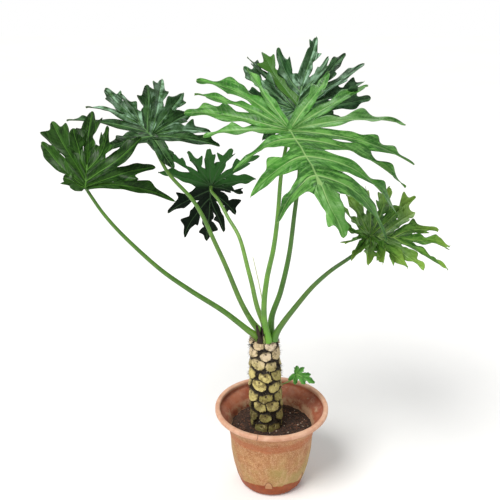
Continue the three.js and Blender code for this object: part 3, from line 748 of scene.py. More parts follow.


# %% [markdown]
# ### Bark
#
# New scars near the top are cream and pinkish, older ones turn yellow-olive, and the oldest by the
# soil are dark olive with moss. The seams are almost black, and the top of each pad carries a
# painted shadow, as if cast by the lower edge of the pad above.

# %% Trunk material
def bark_finish():
    material, s, surface, place = new_material("scarred_bark")
    _, _, height = s.split(place)
    seam_and_shadow = s.attribute("seam_and_shadow").outputs["Fac"]
    dot = s.attribute("dot").outputs["Fac"]
    tone = s.attribute("tone").outputs["Fac"]
    blotches = s.noise(place, 55.0, 5.0, 0.65)
    young = s.mix(tone, (0.64, 0.48, 0.28), (0.92, 0.76, 0.60))
    middle_aged = s.mix(tone, (0.25, 0.22, 0.035), (0.70, 0.58, 0.20))
    old = s.mix(tone, (0.060, 0.070, 0.012), (0.30, 0.29, 0.07))
    wandering = s.plus(height, s.times(s.minus(blotches, 0.5), 0.08))
    colour = s.mix(s.step(wandering, 0.20, 0.27), old, middle_aged)
    colour = s.mix(s.step(wandering, 0.34, 0.41), colour, young)
    speck = use_group(
        s, mottle, Place=place, Scale=160.0, Sharpness=0.5, One=(0.13, 0.09, 0.04), Other=(0.55, 0.48, 0.22)
    )
    colour = s.mix(0.22, colour, speck.outputs["Colour"])
    stain = s.times(s.step(s.noise(place, 60.0, 6.0, 0.72), 0.47, 0.60), 0.75)
    colour = s.mix(stain, colour, (0.11, 0.075, 0.020))
    bright = s.times(s.step(s.noise(place, 110.0, 3.0, 0.6), 0.55, 0.68), 0.45)
    colour = s.mix(bright, colour, (0.72, 0.62, 0.30))
    # Darker along the seams, plus painted shadow at the top of each pad.
    seam_edge_and_shadow = s.times(s.step(seam_and_shadow, 0.02, 0.35), 0.65)
    colour = s.mix(seam_edge_and_shadow, colour, (0.10, 0.075, 0.016))
    # The seams, the fibres and the deepest painted shadow take the near-black fibre colour.
    border_and_shadow = s.step(seam_and_shadow, 0.32, 0.62)
    fibre_share = s.step(s.noise(place, 240.0, 3.0), 0.4, 0.65)
    fibre_and_shadow_tone = s.mix(fibre_share, (0.008, 0.005, 0.003), (0.050, 0.034, 0.014))
    colour = s.mix(border_and_shadow, colour, fibre_and_shadow_tone)
    colour = s.mix(s.times(dot, 0.95), colour, (0.025, 0.010, 0.006))
    nub = s.step(tone, 1.4, 1.8)
    colour = s.mix(nub, colour, (0.68, 0.62, 0.46))
    s.feed(surface, Base_Color=colour)
    s.feed(surface, Roughness=s.step(blotches, 0.3, 0.7, 0.55, 0.9))
    height_map = use_group(s, grain, Place=place, Scale=350.0, Pits=0.5).outputs["Height"]
    s.relief(surface, 0.6, 0.0012, height_map)
    return material


def crown_collar(points, faces, seam_and_shadow, dot, tone):
    """Dead leaf bases round the crown: short, dark, ragged strands that stand up and outwards."""
    dice = random.Random(33)
    for number in range(300):
        turn = dice.uniform(0, 2 * math.pi)
        r = TRUNK_TOP_RADIUS - dice.uniform(1, 9) * MM
        centre = trunk_centre(TRUNK_TOP)
        foot = (centre + r * math.cos(turn), r * math.sin(turn), TRUNK_TOP - dice.uniform(2, 7) * MM)
        away = Vector((math.cos(turn), math.sin(turn), 0))
        lean = away * dice.uniform(0.1, 1.2) + Vector((0, 0, dice.uniform(0.1, 1.0)))
        length = dice.uniform(4, 11) * MM
        bend = away * dice.uniform(-1, 2) * MM
        new_points, new_faces = thin_cone(foot, lean, bend, length, dice.uniform(0.5, 1.5) * MM)
        start = len(points)
        points += new_points
        faces += [tuple(k + start for k in face) for face in new_faces]
        seam_and_shadow += [1.0] * len(new_points)
        dot += [0.0] * len(new_points)
        tone += [-1.0] * len(new_points)


skin = build_trunk()
grow_fibres(*skin)
crown_collar(*skin)
points, faces, seam_and_shadow, dot, tone = skin
make_piece(
    "scarred_trunk", "trunk", points, faces, bark_finish(),
    {"seam_and_shadow": seam_and_shadow, "dot": dot, "tone": tone},
)

# %% [markdown]
# ## The soil
#
# Potting mix is a heap of crumbs. The bed is a disc pushed up and down by noise, and several
# hundred crumbs of bark, peat and grit lie on it. They are joined into one mesh with the bed.

# %% Soil bed and crumbs
SOIL_MOUND = 8 * MM
SOIL_LUMPS = ((45, 3, 3.2), (160, 9, 1.7))  # turns per metre, noise layer, height in millimetres


def soil_level(x, y):
    r = math.hypot(x, y) / (BODY_RADIUS - POT_WALL)
    lumps = sum(
        noise.noise(Vector((x * turns, y * turns, layer))) * height
        for turns, layer, height in SOIL_LUMPS
    )
    return SOIL_HEIGHT - SOIL_MOUND * 0.75 * r**2 - 2 * MM + lumps * MM


def build_soil():
    sides, rings = 200, 70
    edge = outside_radius(SOIL_HEIGHT - SOIL_MOUND) - POT_WALL - 0.4 * MM
    points, kind = [], []
    for i in range(1, rings + 1):
        r = edge * i / rings
        for j in range(sides):
            turn = 2 * math.pi * j / sides
            x, y = r * math.cos(turn), r * math.sin(turn)
            points.append((x, y, soil_level(x, y)))
            kind.append(0.0)
    for z in (130 * MM, 90 * MM, 50 * MM, 20 * MM, POT_FLOOR + 0.5 * MM):
        r = outside_radius(z) - POT_WALL - 0.5 * MM
        for j in range(sides):
            turn = 2 * math.pi * j / sides
            points.append((r * math.cos(turn), r * math.sin(turn), z))
            kind.append(0.0)
    faces = ring_faces(rings + 5, sides)
    faces = [tuple(reversed(face)) for face in faces]
    points += [(0, 0, SOIL_HEIGHT), (0, 0, POT_FLOOR + 0.5 * MM)]
    kind += [0.0, 0.0]
    last = (rings + 4) * sides
    for j in range(sides):
        nxt = (j + 1) % sides
        faces.append((len(points) - 2, j, nxt))
        faces.append((len(points) - 1, last + nxt, last + j))
    return points, faces, kind


def crumb_shape():
    """A low-count ball to be squashed into crumbs."""
    points, faces = [], []
    for i in range(1, 5):
        a = math.pi * i / 5
        for j in range(7):
            b = 2 * math.pi * (j + 0.5 * (i % 2)) / 7
            points.append(Vector((math.sin(a) * math.cos(b), math.sin(a) * math.sin(b), math.cos(a))))
    faces = [tuple(reversed(face)) for face in ring_faces(4, 7)]
    points += [Vector((0, 0, 1)), Vector((0, 0, -1))]
    for j in range(7):
        faces.append((28, j, (j + 1) % 7))
        faces.append((29, 21 + (j + 1) % 7, 21 + j))
    return points, faces


def scatter_crumbs(points, faces, kind):
    dice = random.Random(5)
    ball, ball_faces = crumb_shape()
    edge = outside_radius(SOIL_HEIGHT - SOIL_MOUND) - POT_WALL - 6 * MM
    for number in range(1500):
        r, turn = edge * math.sqrt(dice.random()), dice.uniform(0, 2 * math.pi)
        x, y = r * math.cos(turn), r * math.sin(turn)
        if math.hypot(x - TRUNK_X, y) < TRUNK_RADIUS - 1 * MM:
            continue
        size = dice.choice((0.9, 1.3, 1.8, 2.6)) * MM * dice.uniform(0.7, 1.3)
        stretch = Vector((dice.uniform(0.6, 1.9), dice.uniform(0.6, 1.1), dice.uniform(0.4, 0.9)))
        spin = dice.uniform(0, math.pi)
        pale = dice.choice((0.1, 0.2, 0.3, 0.45, 0.6, 1.0)) if number % 24 else 1.6
        start = len(points)
        for p in ball:
            q = Vector((p.x * stretch.x, p.y * stretch.y, p.z * stretch.z)) * size
            q *= 1 + 0.35 * noise.noise(p * 1.7 + Vector((number, 0, 0)))
            c, s = math.cos(spin), math.sin(spin)
            level = soil_level(x, y) + size * 0.25 + q.z
            points.append((x + q.x * c - q.y * s, y + q.x * s + q.y * c, level))
            kind.append(pale)
        faces += [tuple(k + start for k in face) for face in ball_faces]


# %% Soil material
def soil_finish():
    material, s, surface, place = new_material("potting_mix")
    kind = s.attribute("kind").outputs["Fac"]
    base = mottled(s, place, 260.0, 0.5, (0.010, 0.006, 0.004), (0.060, 0.030, 0.018))
    damp = mottled(s, place, 28.0, 0.1, (0.014, 0.008, 0.006), (0.085, 0.042, 0.026))
    colour = s.mix(0.45, base, damp)
    colour = s.mix(s.step(kind, 0.0, 1.0, 0.0, 0.75), colour, (0.20, 0.085, 0.045))
    colour = s.mix(s.step(kind, 1.3, 1.5, 0.0, 0.8), colour, (0.55, 0.46, 0.36))
    s.feed(surface, Base_Color=colour)
    s.feed(surface, Roughness=0.92)
    height_map = use_group(s, grain, Place=place, Scale=500.0, Pits=0.8).outputs["Height"]
    s.relief(surface, 0.8, 0.002, height_map)
    return material


points, faces, kind = build_soil()
scatter_crumbs(points, faces, kind)
make_piece("soil_bed", "soil", points, faces, soil_finish(), {"kind": kind})

# %% [markdown]
# ## Curves for the stalks
#
# A leaf stalk leaves the trunk's top, clasping its neighbours with a widened base, and then bows
# out. Its line is a smooth curve through a few points, and a round section is swept along it that
# narrows towards the blade. The upper side is slightly flattened, as it is in the living plant.

# %% A smooth curve through points and a section swept along it
def smooth_curve(knots, count):
    """Points of a centripetal Catmull-Rom curve through the knots."""
    p = [np.array(k, float) for k in knots]
    p = [2 * p[0] - p[1]] + p + [2 * p[-1] - p[-2]]
    out = []
    spans = len(p) - 3
    for i in range(spans):
        a, b, c, d = p[i : i + 4]
        t0 = 0.0
        t1 = t0 + max(1e-6, np.linalg.norm(b - a)) ** 0.5
        t2 = t1 + max(1e-6, np.linalg.norm(c - b)) ** 0.5
        t3 = t2 + max(1e-6, np.linalg.norm(d - c)) ** 0.5
        steps = max(2, round(count / spans))
        for k in range(steps + (i == spans - 1)):
            t = t1 + (t2 - t1) * k / steps
            ab = (t1 - t) / (t1 - t0) * a + (t - t0) / (t1 - t0) * b
            bc = (t2 - t) / (t2 - t1) * b + (t - t1) / (t2 - t1) * c
            cd = (t3 - t) / (t3 - t2) * c + (t - t2) / (t3 - t2) * d
            abc = (t2 - t) / (t2 - t0) * ab + (t - t0) / (t2 - t0) * bc
            bcd = (t3 - t) / (t3 - t1) * bc + (t - t1) / (t3 - t1) * cd
            out.append((t2 - t) / (t2 - t1) * abc + (t - t1) / (t2 - t1) * bcd)
    return np.array(out)


def sweep(line, radius_at, sides, flatten=0.0):
    """A closed tube along a line. radius_at(share, turn) gives the radius, flatten thins its top."""
    lengths = np.concatenate(([0], np.cumsum(np.linalg.norm(np.diff(line, axis=0), axis=1))))
    share = lengths / lengths[-1]
    tangents = np.gradient(line, axis=0)
    tangents /= np.linalg.norm(tangents, axis=1)[:, None]
    side = np.cross(tangents[0], (0.3, 0.1, 1.0))
    points, shares, turns = [], [], []
    for i, centre in enumerate(line):
        side = side - tangents[i] * np.dot(side, tangents[i])
        side /= np.linalg.norm(side)
        up = np.cross(side, tangents[i])
        for j in range(sides):
            a = 2 * math.pi * j / sides
            r = radius_at(share[i], a)
            points.append(centre + r * (side * math.cos(a) + up * math.sin(a) * (1 - flatten)))
            shares.append(share[i])
            turns.append(a)
    faces = ring_faces(len(line), sides)
    faces.append(tuple(reversed(range(sides))))
    faces.append(tuple((len(line) - 1) * sides + j for j in range(sides)))
    return points, faces, shares, lengths[-1]


# %% [markdown]
# ### Stalk skin
#
# Stalks are waxy and green, with long pale streaks, tiny pale corky dashes and a yellower, dirtier
# base. Each stalk has its own two greens, because old stalks are duller than new ones.

# %% Stalk material
stalk_skin, g, given, result = new_group(
    "Stalk Skin",
    [("Place", PLACE, None), ("Green", COLOUR, None),
     ("Other Green", COLOUR, None), ("Base", COLOUR, None)],
    [("Colour", COLOUR), ("Height", NUMBER)],
)
share = g.attribute("share").outputs["Fac"]
turn = g.attribute("turn").outputs["Fac"]
strand_place = g.node("ShaderNodeCombineXYZ")
g.feed(strand_place, X=g.maths("SINE", turn))
g.feed(strand_place, Y=g.maths("COSINE", turn))
g.feed(strand_place, Z=g.times(share, 3.0))
strands = g.noise(strand_place.outputs["Vector"], 5.0, 5.0, 0.6)
blotchy = g.noise(given.outputs["Place"], 34.0, 4.0, 0.6)
colour = g.mix(g.step(blotchy, 0.35, 0.65), given.outputs["Green"], given.outputs["Other Green"])
colour = g.mix(g.step(strands, 0.50, 0.75, 0.0, 0.25), colour, (0.34, 0.46, 0.14))
colour = g.mix(g.step(strands, 0.45, 0.25, 0.0, 0.35), colour, (0.05, 0.12, 0.02))
dash_place = g.node("ShaderNodeMapping", None, Vector=strand_place.outputs["Vector"])
g.feed(dash_place, Scale=(9.0, 9.0, 24.0))
dashes = g.node("ShaderNodeTexVoronoi", None, Vector=dash_place.outputs["Vector"])
g.feed(dashes, Scale=1.0)
mark = g.step(dashes.outputs["Distance"], 0.16, 0.05)
colour = g.mix(g.times(mark, 0.45), colour, (0.30, 0.26, 0.12))
low = g.step(g.plus(share, g.times(g.minus(blotchy, 0.5), 0.1)), 0.16, 0.02)
colour = g.mix(g.times(low, 0.8), colour, given.outputs["Base"])
g.feed(result, Colour=colour)
g.feed(result, Height=g.plus(strands, g.times(mark, 0.4)))


def stalk_finish(name, green, other, base):
    material, s, surface, place = new_material(name)
    skin = use_group(s, stalk_skin, Place=place, Green=green, Other_Green=other, Base=base)
    s.feed(surface, Base_Color=skin.outputs["Colour"])
    shine = s.noise(place, 70.0, 4.0, 0.6)
    s.feed(surface, Roughness=s.step(shine, 0.3, 0.7, 0.34, 0.55))
    s.feed(surface, Coat_Weight=0.12)
    s.relief(surface, 0.5, 0.0006, skin.outputs["Height"])
    return material


# %% [markdown]
# ## Blades
#
# A blade is a fan of lobes. Each lobe has a rib that leaves the stalk's top or the midrib, and its
# own length, width, droop and sideways swing. Neighbouring lobes are joined near the middle and
# part further out. That is how the leaf grows: one sheet, deeply cut.
#
# The outline is then given what makes it look alive: blunt side lobes along each edge, a wavy rim,
# a fold along the rib and a forked tip here and there.

# %% Leaf frame and lobe rules
LEAF_THICKNESS = 1.0 * MM
FADE = 10.0
LOBE_ROWS = 56


def unit(v):
    v = np.array(v, float)
    return v / np.linalg.norm(v)


class Leaf:
    """One blade's own axes: forward along the midrib, left beside it and face, its upper side."""

    def __init__(self, name, stalk_top, forward, face, midrib, pairs, tip, left, right):
        self.name = name
        self.origin = np.array(stalk_top, float) * MM
        self.forward = unit(forward)
        face = np.array(face, float)
        self.face = unit(face - self.forward * np.dot(face, self.forward))
        self.left = np.cross(self.face, self.forward)
        self.midrib, self.pairs = midrib * MM, pairs
        self.tip, self.left_lobes, self.right_lobes = tip, left, right
        self.length, self.sag = tip[1] * MM, tip[3] * MM

    def midrib_at(self, distance):
        drop = self.sag * (distance / self.length) ** 2
        return self.origin + self.forward * distance - self.face * drop

    def lobes(self):
        """Every lobe from the gap on the left, round the apex, to the gap on the right."""
        step = self.midrib / self.pairs
        found = {}
        for side, specs in (("left", self.left_lobes), ("right", self.right_lobes)):
            fan = len(specs) - self.pairs
            places = [(max(0, i - fan) * step, max(0, i - fan + 1) * step) for i in range(len(specs))]
            found[side] = list(zip(specs, places))
        left = [(spec, low, high) for spec, (low, high) in found["left"]]
        right = [(spec, high, low) for spec, (low, high) in reversed(found["right"])]
        return left + [(None, self.midrib, self.midrib)] + right


# %% [markdown]
# ### From lobes to one sheet
#
# A lobe is laid out as a grid: rows go from the base to the tip and columns from one edge over the
# rib to the other edge. Columns crowd towards the rib, where the blade bends most. Facing edges of
# two neighbours take their shared middle line up to the notch, and return to their own line past it.

# %% Edge outline of one lobe
COLUMN_SHARES = (0.05, 0.13, 0.26, 0.42, 0.60, 0.80, 1.0)
SHARES = [-c for c in reversed(COLUMN_SHARES)] + [0.0] + list(COLUMN_SHARES)


def lobe_outline(half, t, teeth, side):
    """Half width at t, with the blunt side lobes of one edge, and how far each leans to the tip."""
    body = half * (0.72 + 0.42 * np.sin(math.pi * np.minimum(1, t * 1.15)))
    tip = np.sqrt(np.maximum(0, 1 - np.maximum(0, (t - 0.68) / 0.32) ** 2.4))
    extra = np.zeros_like(t)
    for at, tooth_side, size, reach in teeth:
        if tooth_side == side:
            extra += size * np.exp(-(((t - at) / reach) ** 2))
            extra -= 0.45 * size * np.exp(-(((t - at + 2.1 * reach) / (0.9 * reach)) ** 2))
    extra *= smooth_step(0.26, 0.44, t)
    width = body * tip + half * extra * np.sqrt(tip)
    lean = half * np.maximum(0, extra) * 1.1 * tip
    return np.maximum(width, 0), lean


def side_teeth(dice, length, teeth_size):
    """Blunt side lobes as (place, side, size, reach). Long lobes carry more of them."""
    teeth = []
    for side in (-1, 1):
        count = 1 + int(length > 0.17)
        for k in range(count):
            at = 0.50 + 0.36 * (k + dice.uniform(0.1, 0.9)) / count
            size = teeth_size * dice.choice((0.15, 0.5, 0.9, 1.25))
            teeth.append((at, side, size, dice.uniform(0.045, 0.075)))
    return teeth


# %% Grow the lobes of a blade
def grow_lobe(leaf, spec, start, end, dice, look, forks):
    """A lobe's rib, its two edges and what its surface needs."""
    apex = spec is None
    if apex:
        beyond = 1 - leaf.midrib / leaf.length
        _, full, half, full_sag = leaf.tip
        heading, length, half, sag, swing = 0, full * beyond, half, full_sag * beyond**2, 0
        start = end = leaf.midrib
    else:
        heading, length, half, sag, swing = (*spec, 0)[:5]
    length, half, sag, swing = length * MM, look["broad"] * half * MM, sag * MM, swing * MM
    distance = (start + end) / 2
    slope = unit(leaf.forward - leaf.face * 2 * leaf.sag * distance / leaf.length**2)
    turn = math.radians(heading)
    out = slope * math.cos(turn) + leaf.left * math.sin(turn)
    up = unit(np.cross(slope, leaf.left))
    side = unit(np.cross(out, up))
    swung = float(np.sign(heading)) * swing
    t = np.linspace(0, 1, LOBE_ROWS + 1)
    middle = leaf.midrib_at(distance)
    rib = middle + np.outer(t * length, out) - np.outer(t**2 * sag, up) + np.outer(t**2 * swung, side)
    wander = look["wander"] * np.sin(2 * math.pi * (t * dice.uniform(0.8, 1.4) + dice.random())) * t
    rib += np.outer(wander * half * (1 - 0.6 * t), side)
    teeth = side_teeth(dice, length, look["teeth"]) + [tuple(f) for f in forks]
    roll = look["roll"] * dice.uniform(-1, 1) * smooth_step(0.1, 0.7, t)
    edges = {}
    for sign in (-1, 1):
        width, lean = lobe_outline(half, t, teeth, sign)
        raised = (look["fold"] + sign * roll) * width
        edge = rib + side * (sign * width * (1 - 0.3 * np.abs(roll)))[:, None]
        edges[sign] = edge + up * raised[:, None] + out * lean[:, None]
    for sign, place in ((-1, start), (1, end)):
        edges[sign][0] = leaf.midrib_at(place)
    return {
        "rib": rib, "edges": edges, "up": up, "t": t, "length": length, "half": half,
        "start": start, "end": end, "phase": dice.uniform(0, 7), "waves": dice.uniform(1.6, 3.2),
        "tone": dice.choice((0.05, 0.3, 0.45, 0.6, 0.75, 0.95)),
    }


def join_lobes(one, following, web_share):
    """Lets two neighbours share their facing edges up to the notch."""
    t = one["t"]
    after, before = one["edges"][1], following["edges"][-1]
    shared = (after + before) / 2
    web = t <= web_share
    notch = int(np.sum(web)) - 1
    fade = np.exp(-FADE * (t - t[notch]))[:, None]
    pull_after, pull_before = shared[notch] - after[notch], shared[notch] - before[notch]
    inner = (t > t[notch]) & (t < 1)
    pulled = after + np.where(inner[:, None], pull_after * fade, 0)
    one["edges"][1] = np.where(web[:, None], shared, pulled)
    following["edges"][-1] = np.where(
        web[:, None], shared, before + np.where(inner[:, None], pull_before * fade, 0)
    )


def lobe_grid(leaf, lobe, look):
    """The lobe's points, its corners' places and its distance from the midrib."""
    rows = LOBE_ROWS + 1
    grid = np.zeros((rows, len(SHARES), 3))
    place = np.zeros((rows, len(SHARES), 3))
    t, rib, up = lobe["t"], lobe["rib"], lobe["up"]
    for column, c in enumerate(SHARES):
        edge = lobe["edges"][1 if c > 0 else -1]
        a = abs(c)
        line = rib * (1 - a) + edge * a
        bow = lobe["half"] * look["bow"] * (a * (1 - a)) * np.sin(math.pi * np.minimum(t, 1))
        turn = 2 * math.pi * lobe["waves"] * t + lobe["phase"] + (2.1 if c > 0 else 0)
        ripple = look["ripple"] * MM * a**2 * np.sin(turn) * smooth_step(0.18, 0.45, t)
        gap = np.abs(t - look["web"]) / 0.2
        crease = -look["crease"] * lobe["half"] * a * np.exp(-(gap**2)) * smooth_step(0.02, 0.2, t)
        line = line + up * (bow + ripple + crease * 0.5)[:, None]
        grid[:, column] = line
        place[:, column, 0] = t * lobe["length"]
        place[:, column, 1] = np.linalg.norm(edge - rib, axis=1) * a * (1 if c >= 0 else -1)
        place[:, column, 2] = t
    for column, c in enumerate(SHARES):
        low = leaf.midrib_at(lobe["start"] + (lobe["end"] - lobe["start"]) * (c + 1) / 2)
        grid[0, column] = low
    return grid, place


# %% Join the lobes into a closed, thick blade
YOUNG_TONE = 2.0


def build_blade(leaf, look):
    dice = random.Random(look["seed"])
    forks = look.get("forks", {})
    lobes = []
    for number, (spec, start, end) in enumerate(leaf.lobes()):
        lobes.append(grow_lobe(leaf, spec, start, end, dice, look, forks.get(number, ())))
        if number == look.get("young_lobe"):
            lobes[-1]["tone"] = YOUNG_TONE
    webs = look.get("webs", {})
    for number, (one, following) in enumerate(zip(lobes, lobes[1:])):
        by_apex = leaf.midrib in (one["start"], following["start"])
        share = max(look["web"], 0.30) if by_apex else look["web"]
        join_lobes(one, following, webs.get(number, share))
    points, places, tones, gaps, ridges, faces = [], [], [], [], [], []
    columns = len(SHARES)
    for lobe in lobes:
        grid, place = lobe_grid(leaf, lobe, look)
        base = len(points) and sum(len(p) for p in points)
        points.append(grid.reshape(-1, 3))
        places.append(place.reshape(-1, 3))
        tones.append(np.full(grid.shape[0] * columns, lobe["tone"]))
        thick = 1.5 * MM * (1 - 0.75 * lobe["t"])[:, None] * np.exp(-((np.array(SHARES) / 0.12) ** 2))
        ridges.append(thick.ravel())
        mid = np.repeat(lobe["t"] * lobe["length"], columns)
        gaps.append(mid if lobe["start"] != lobe["end"] else np.ones_like(mid))
        for i in range(LOBE_ROWS):
            for j in range(columns - 1):
                a = base + i * columns + j
                faces.append((a, a + 1, a + 1 + columns, a + columns))
    points, places = np.concatenate(points), np.concatenate(places)
    ridges, gaps, tones = np.concatenate(ridges), np.concatenate(gaps), np.concatenate(tones)
    keys = np.round(points / 2e-6).astype(np.int64)
    _, first, new_id = np.unique(keys, axis=0, return_index=True, return_inverse=True)
    new_id = new_id.ravel()
    sheet = points[first]
    ridge = np.zeros(len(first))
    np.maximum.at(ridge, new_id, ridges)
    midrib_gap = np.ones(len(first))
    np.minimum.at(midrib_gap, new_id, gaps)
    lobe_tone = np.zeros(len(first))
    np.maximum.at(lobe_tone, new_id, tones)
    sheet_faces, face_places = [], []
    for face in faces:
        ids, seen = [], set()
        for corner in face:
            if new_id[corner] not in seen:
                seen.add(new_id[corner])
                ids.append(corner)
        if len(ids) > 2:
            sheet_faces.append(tuple(int(new_id[c]) for c in ids))
            face_places.append([places[c] for c in ids])
    normals = np.zeros_like(sheet)
    for face in sheet_faces:
        p = sheet[list(face)]
        n = np.cross(p[1] - p[0], p[2] - p[0])
        if len(face) == 4:
            n = n + np.cross(p[2] - p[0], p[3] - p[0])
        normals[list(face)] += n
    size = np.linalg.norm(normals, axis=1)
    normals /= np.maximum(size, 1e-12)[:, None]
    if np.dot(normals.sum(axis=0), leaf.face) < 0:
        normals = -normals
        sheet_faces = [tuple(reversed(face)) for face in sheet_faces]
        face_places = [list(reversed(p)) for p in face_places]
    count = len(sheet)
    h = LEAF_THICKNESS / 2
    top = sheet + normals * (h + 0.25 * ridge)[:, None]
    under = sheet - normals * (h + ridge)[:, None]
    all_points = np.concatenate((top, under))
    all_faces = list(sheet_faces)
    corner_places = [p for ps in face_places for p in ps]
    edges = {}
    for face, ps in zip(sheet_faces, face_places):
        all_faces.append(tuple(count + k for k in reversed(face)))
        corner_places += list(reversed(ps))
        for k in range(len(face)):
            m = (k + 1) % len(face)
            edges[(face[k], face[m])] = (ps[k], ps[m])
    for (p, q), (place_p, place_q) in edges.items():
        if (q, p) not in edges:
            all_faces.append((q, p, count + p, count + q))
            corner_places += [place_q, place_p, place_p, place_q]
    side = np.concatenate((np.zeros(count), np.ones(count)))
    point_values = {
        "under": side,
        "midrib_gap": np.tile(midrib_gap, 2),
        "lobe_tone": np.tile(lobe_tone, 2),
    }
    return all_points, all_faces, point_values, {"lobe_place": corner_places}


# %% [markdown]
# ### Blade skin
#
# The upper side is a waxy green that shifts between two tones. Ribs are paler than the blade and
# side veins a little paler. Along the veins the blade is quilted, so light breaks up over it. Painted
# shade lies towards each lobe's base and on one half of each lobe, painted light and shade run in
# streaks along the lobes, and a pale painted sheen stands for the sky's reflection on what looks
# up. The underside is matt and has its own colour, which on the back blade is painted nearly black
# as shade. Blades also carry small brown spots.

# %% Blade material
def blade_finish(name, green, dark_green, vein, under, tip_tint=None, sheen=(0.30, 0.42, 0.30), dust_and_sheen_film=0.2,
                 roughness=(0.28, 0.44), rib_width=0.0012, spacing=0.012, lit_top_tint=None, relief=0.5,
                 gloss_level=0.24):
    material, s, surface, place = new_material(name)
    web = use_group(s, veins, Spacing=spacing, Rib_Width=rib_width)
    below = s.attribute("under").outputs["Fac"]
    lobe_place = s.node("ShaderNodeSeparateXYZ", None, Vector=s.attribute("lobe_place").outputs["Vector"])
    share = lobe_place.outputs["Z"]
    blade = use_group(s, mottle, Place=place, Scale=11.0, Sharpness=0.0, One=green, Other=dark_green)
    colour = blade.outputs["Colour"]
    fine = s.noise(place, 120.0, 5.0, 0.65)
    tone = s.attribute("lobe_tone").outputs["Fac"]
    deep = tuple(0.45 * v for v in dark_green)
    light = tuple(0.8 * g + 0.35 * v for g, v in zip(green, vein))
    colour = s.mix(s.step(tone, 0.55, 0.0, 0.0, 0.6), colour, deep)
    colour = s.mix(s.step(tone, 0.55, 1.0, 0.0, 0.4), colour, light)
    # Painted shade: darker towards each lobe's base, where the lobes crowd together.
    colour = s.mix(s.step(share, 0.32, 0.05, 0.0, 0.45), colour, deep)
    # Painted shade and painted highlight: dark and light streaks along each lobe stand in for the light and
    # shade on its folds.
    streaks = s.node("ShaderNodeMapping", None, Vector=s.attribute("lobe_place").outputs["Vector"])
    s.feed(streaks, Scale=(18.0, 130.0, 1.0))
    streak = s.noise(streaks.outputs["Vector"], 1.0, 4.0, 0.6)
    colour = s.mix(s.step(streak, 0.50, 0.37, 0.0, 0.75), colour, deep)
    colour = s.mix(s.step(streak, 0.50, 0.63, 0.0, 0.75), colour, light)
    # Painted shade on one half of each lobe, as if its fold turned that half away from the light.
    half_side = s.step(lobe_place.outputs["Y"], 0.0010, -0.0010)
    colour = s.mix(s.times(half_side, s.step(tone, 0.0, 1.0, 0.10, 0.45)), colour, deep)
    colour = s.mix(s.step(fine, 0.35, 0.7, 0.0, 0.10), colour, vein)
    if tip_tint:
        colour = s.mix(s.step(share, 0.45, 1.0, 0.0, 0.7), colour, tip_tint)
    colour = s.mix(s.step(tone, 1.2, 1.6, 0.0, 0.55), colour, (0.075, 0.22, 0.016))
    colour = s.mix(s.times(web.outputs["Side"], 0.16), colour, vein)
    # Painted sheen: the pale reflection of the sky on what looks up, varied by lobe and streak and weaker
    # on each lobe's shaded half. The pot's dust uses the same film.
    dust_and_sheen_mask = use_group(s, dust_and_sheen, Place=place, Amount=dust_and_sheen_film).outputs["Mask"]
    dust_and_sheen_mask = s.times(dust_and_sheen_mask, s.step(tone, 0.25, 0.85, 0.15, 1.7))
    dust_and_sheen_mask = s.times(dust_and_sheen_mask, s.step(tone, 1.6, 1.2))
    dust_and_sheen_mask = s.times(dust_and_sheen_mask, s.step(streak, 0.42, 0.58, 0.15, 1.7))
    dust_and_sheen_mask = s.times(dust_and_sheen_mask, s.minus(1.0, s.times(half_side, 0.6)))
    colour = s.mix(dust_and_sheen_mask, colour, sheen)
    colour = s.mix(s.times(web.outputs["Rib"], 0.85), colour, vein)
    spots = s.node("ShaderNodeTexVoronoi", None, Vector=place, Scale=70.0)
    spot = s.times(s.step(spots.outputs["Distance"], 0.10, 0.05), s.step(fine, 0.5, 0.62))
    colour = s.mix(s.times(spot, 0.6), colour, (0.16, 0.10, 0.03))
    under_colour = s.mix(s.step(fine, 0.3, 0.7, 0.0, 0.3), under, green)
    # Painted light on the underside: above the given heights its colour turns to a lit green.
    if lit_top_tint:
        height = s.split(place)["Z"]
        under_colour = s.mix(s.step(height, *lit_top_tint[:2]), under_colour, lit_top_tint[2])
    under_colour = s.mix(s.times(web.outputs["Rib"], 0.6), under_colour, vein)
    colour = s.mix(below, colour, under_colour)
    s.feed(surface, Base_Color=colour)
    gloss = s.step(s.noise(place, 45.0, 4.0, 0.6), 0.3, 0.7, *roughness)
    s.feed(surface, Roughness=s.plus(gloss, s.times(below, 0.25)))
    s.feed(surface, Specular_IOR_Level=gloss_level)
    height = s.plus(web.outputs["Height"], s.times(fine, 0.25))
    s.relief(surface, relief, 0.0010, height)
    return material
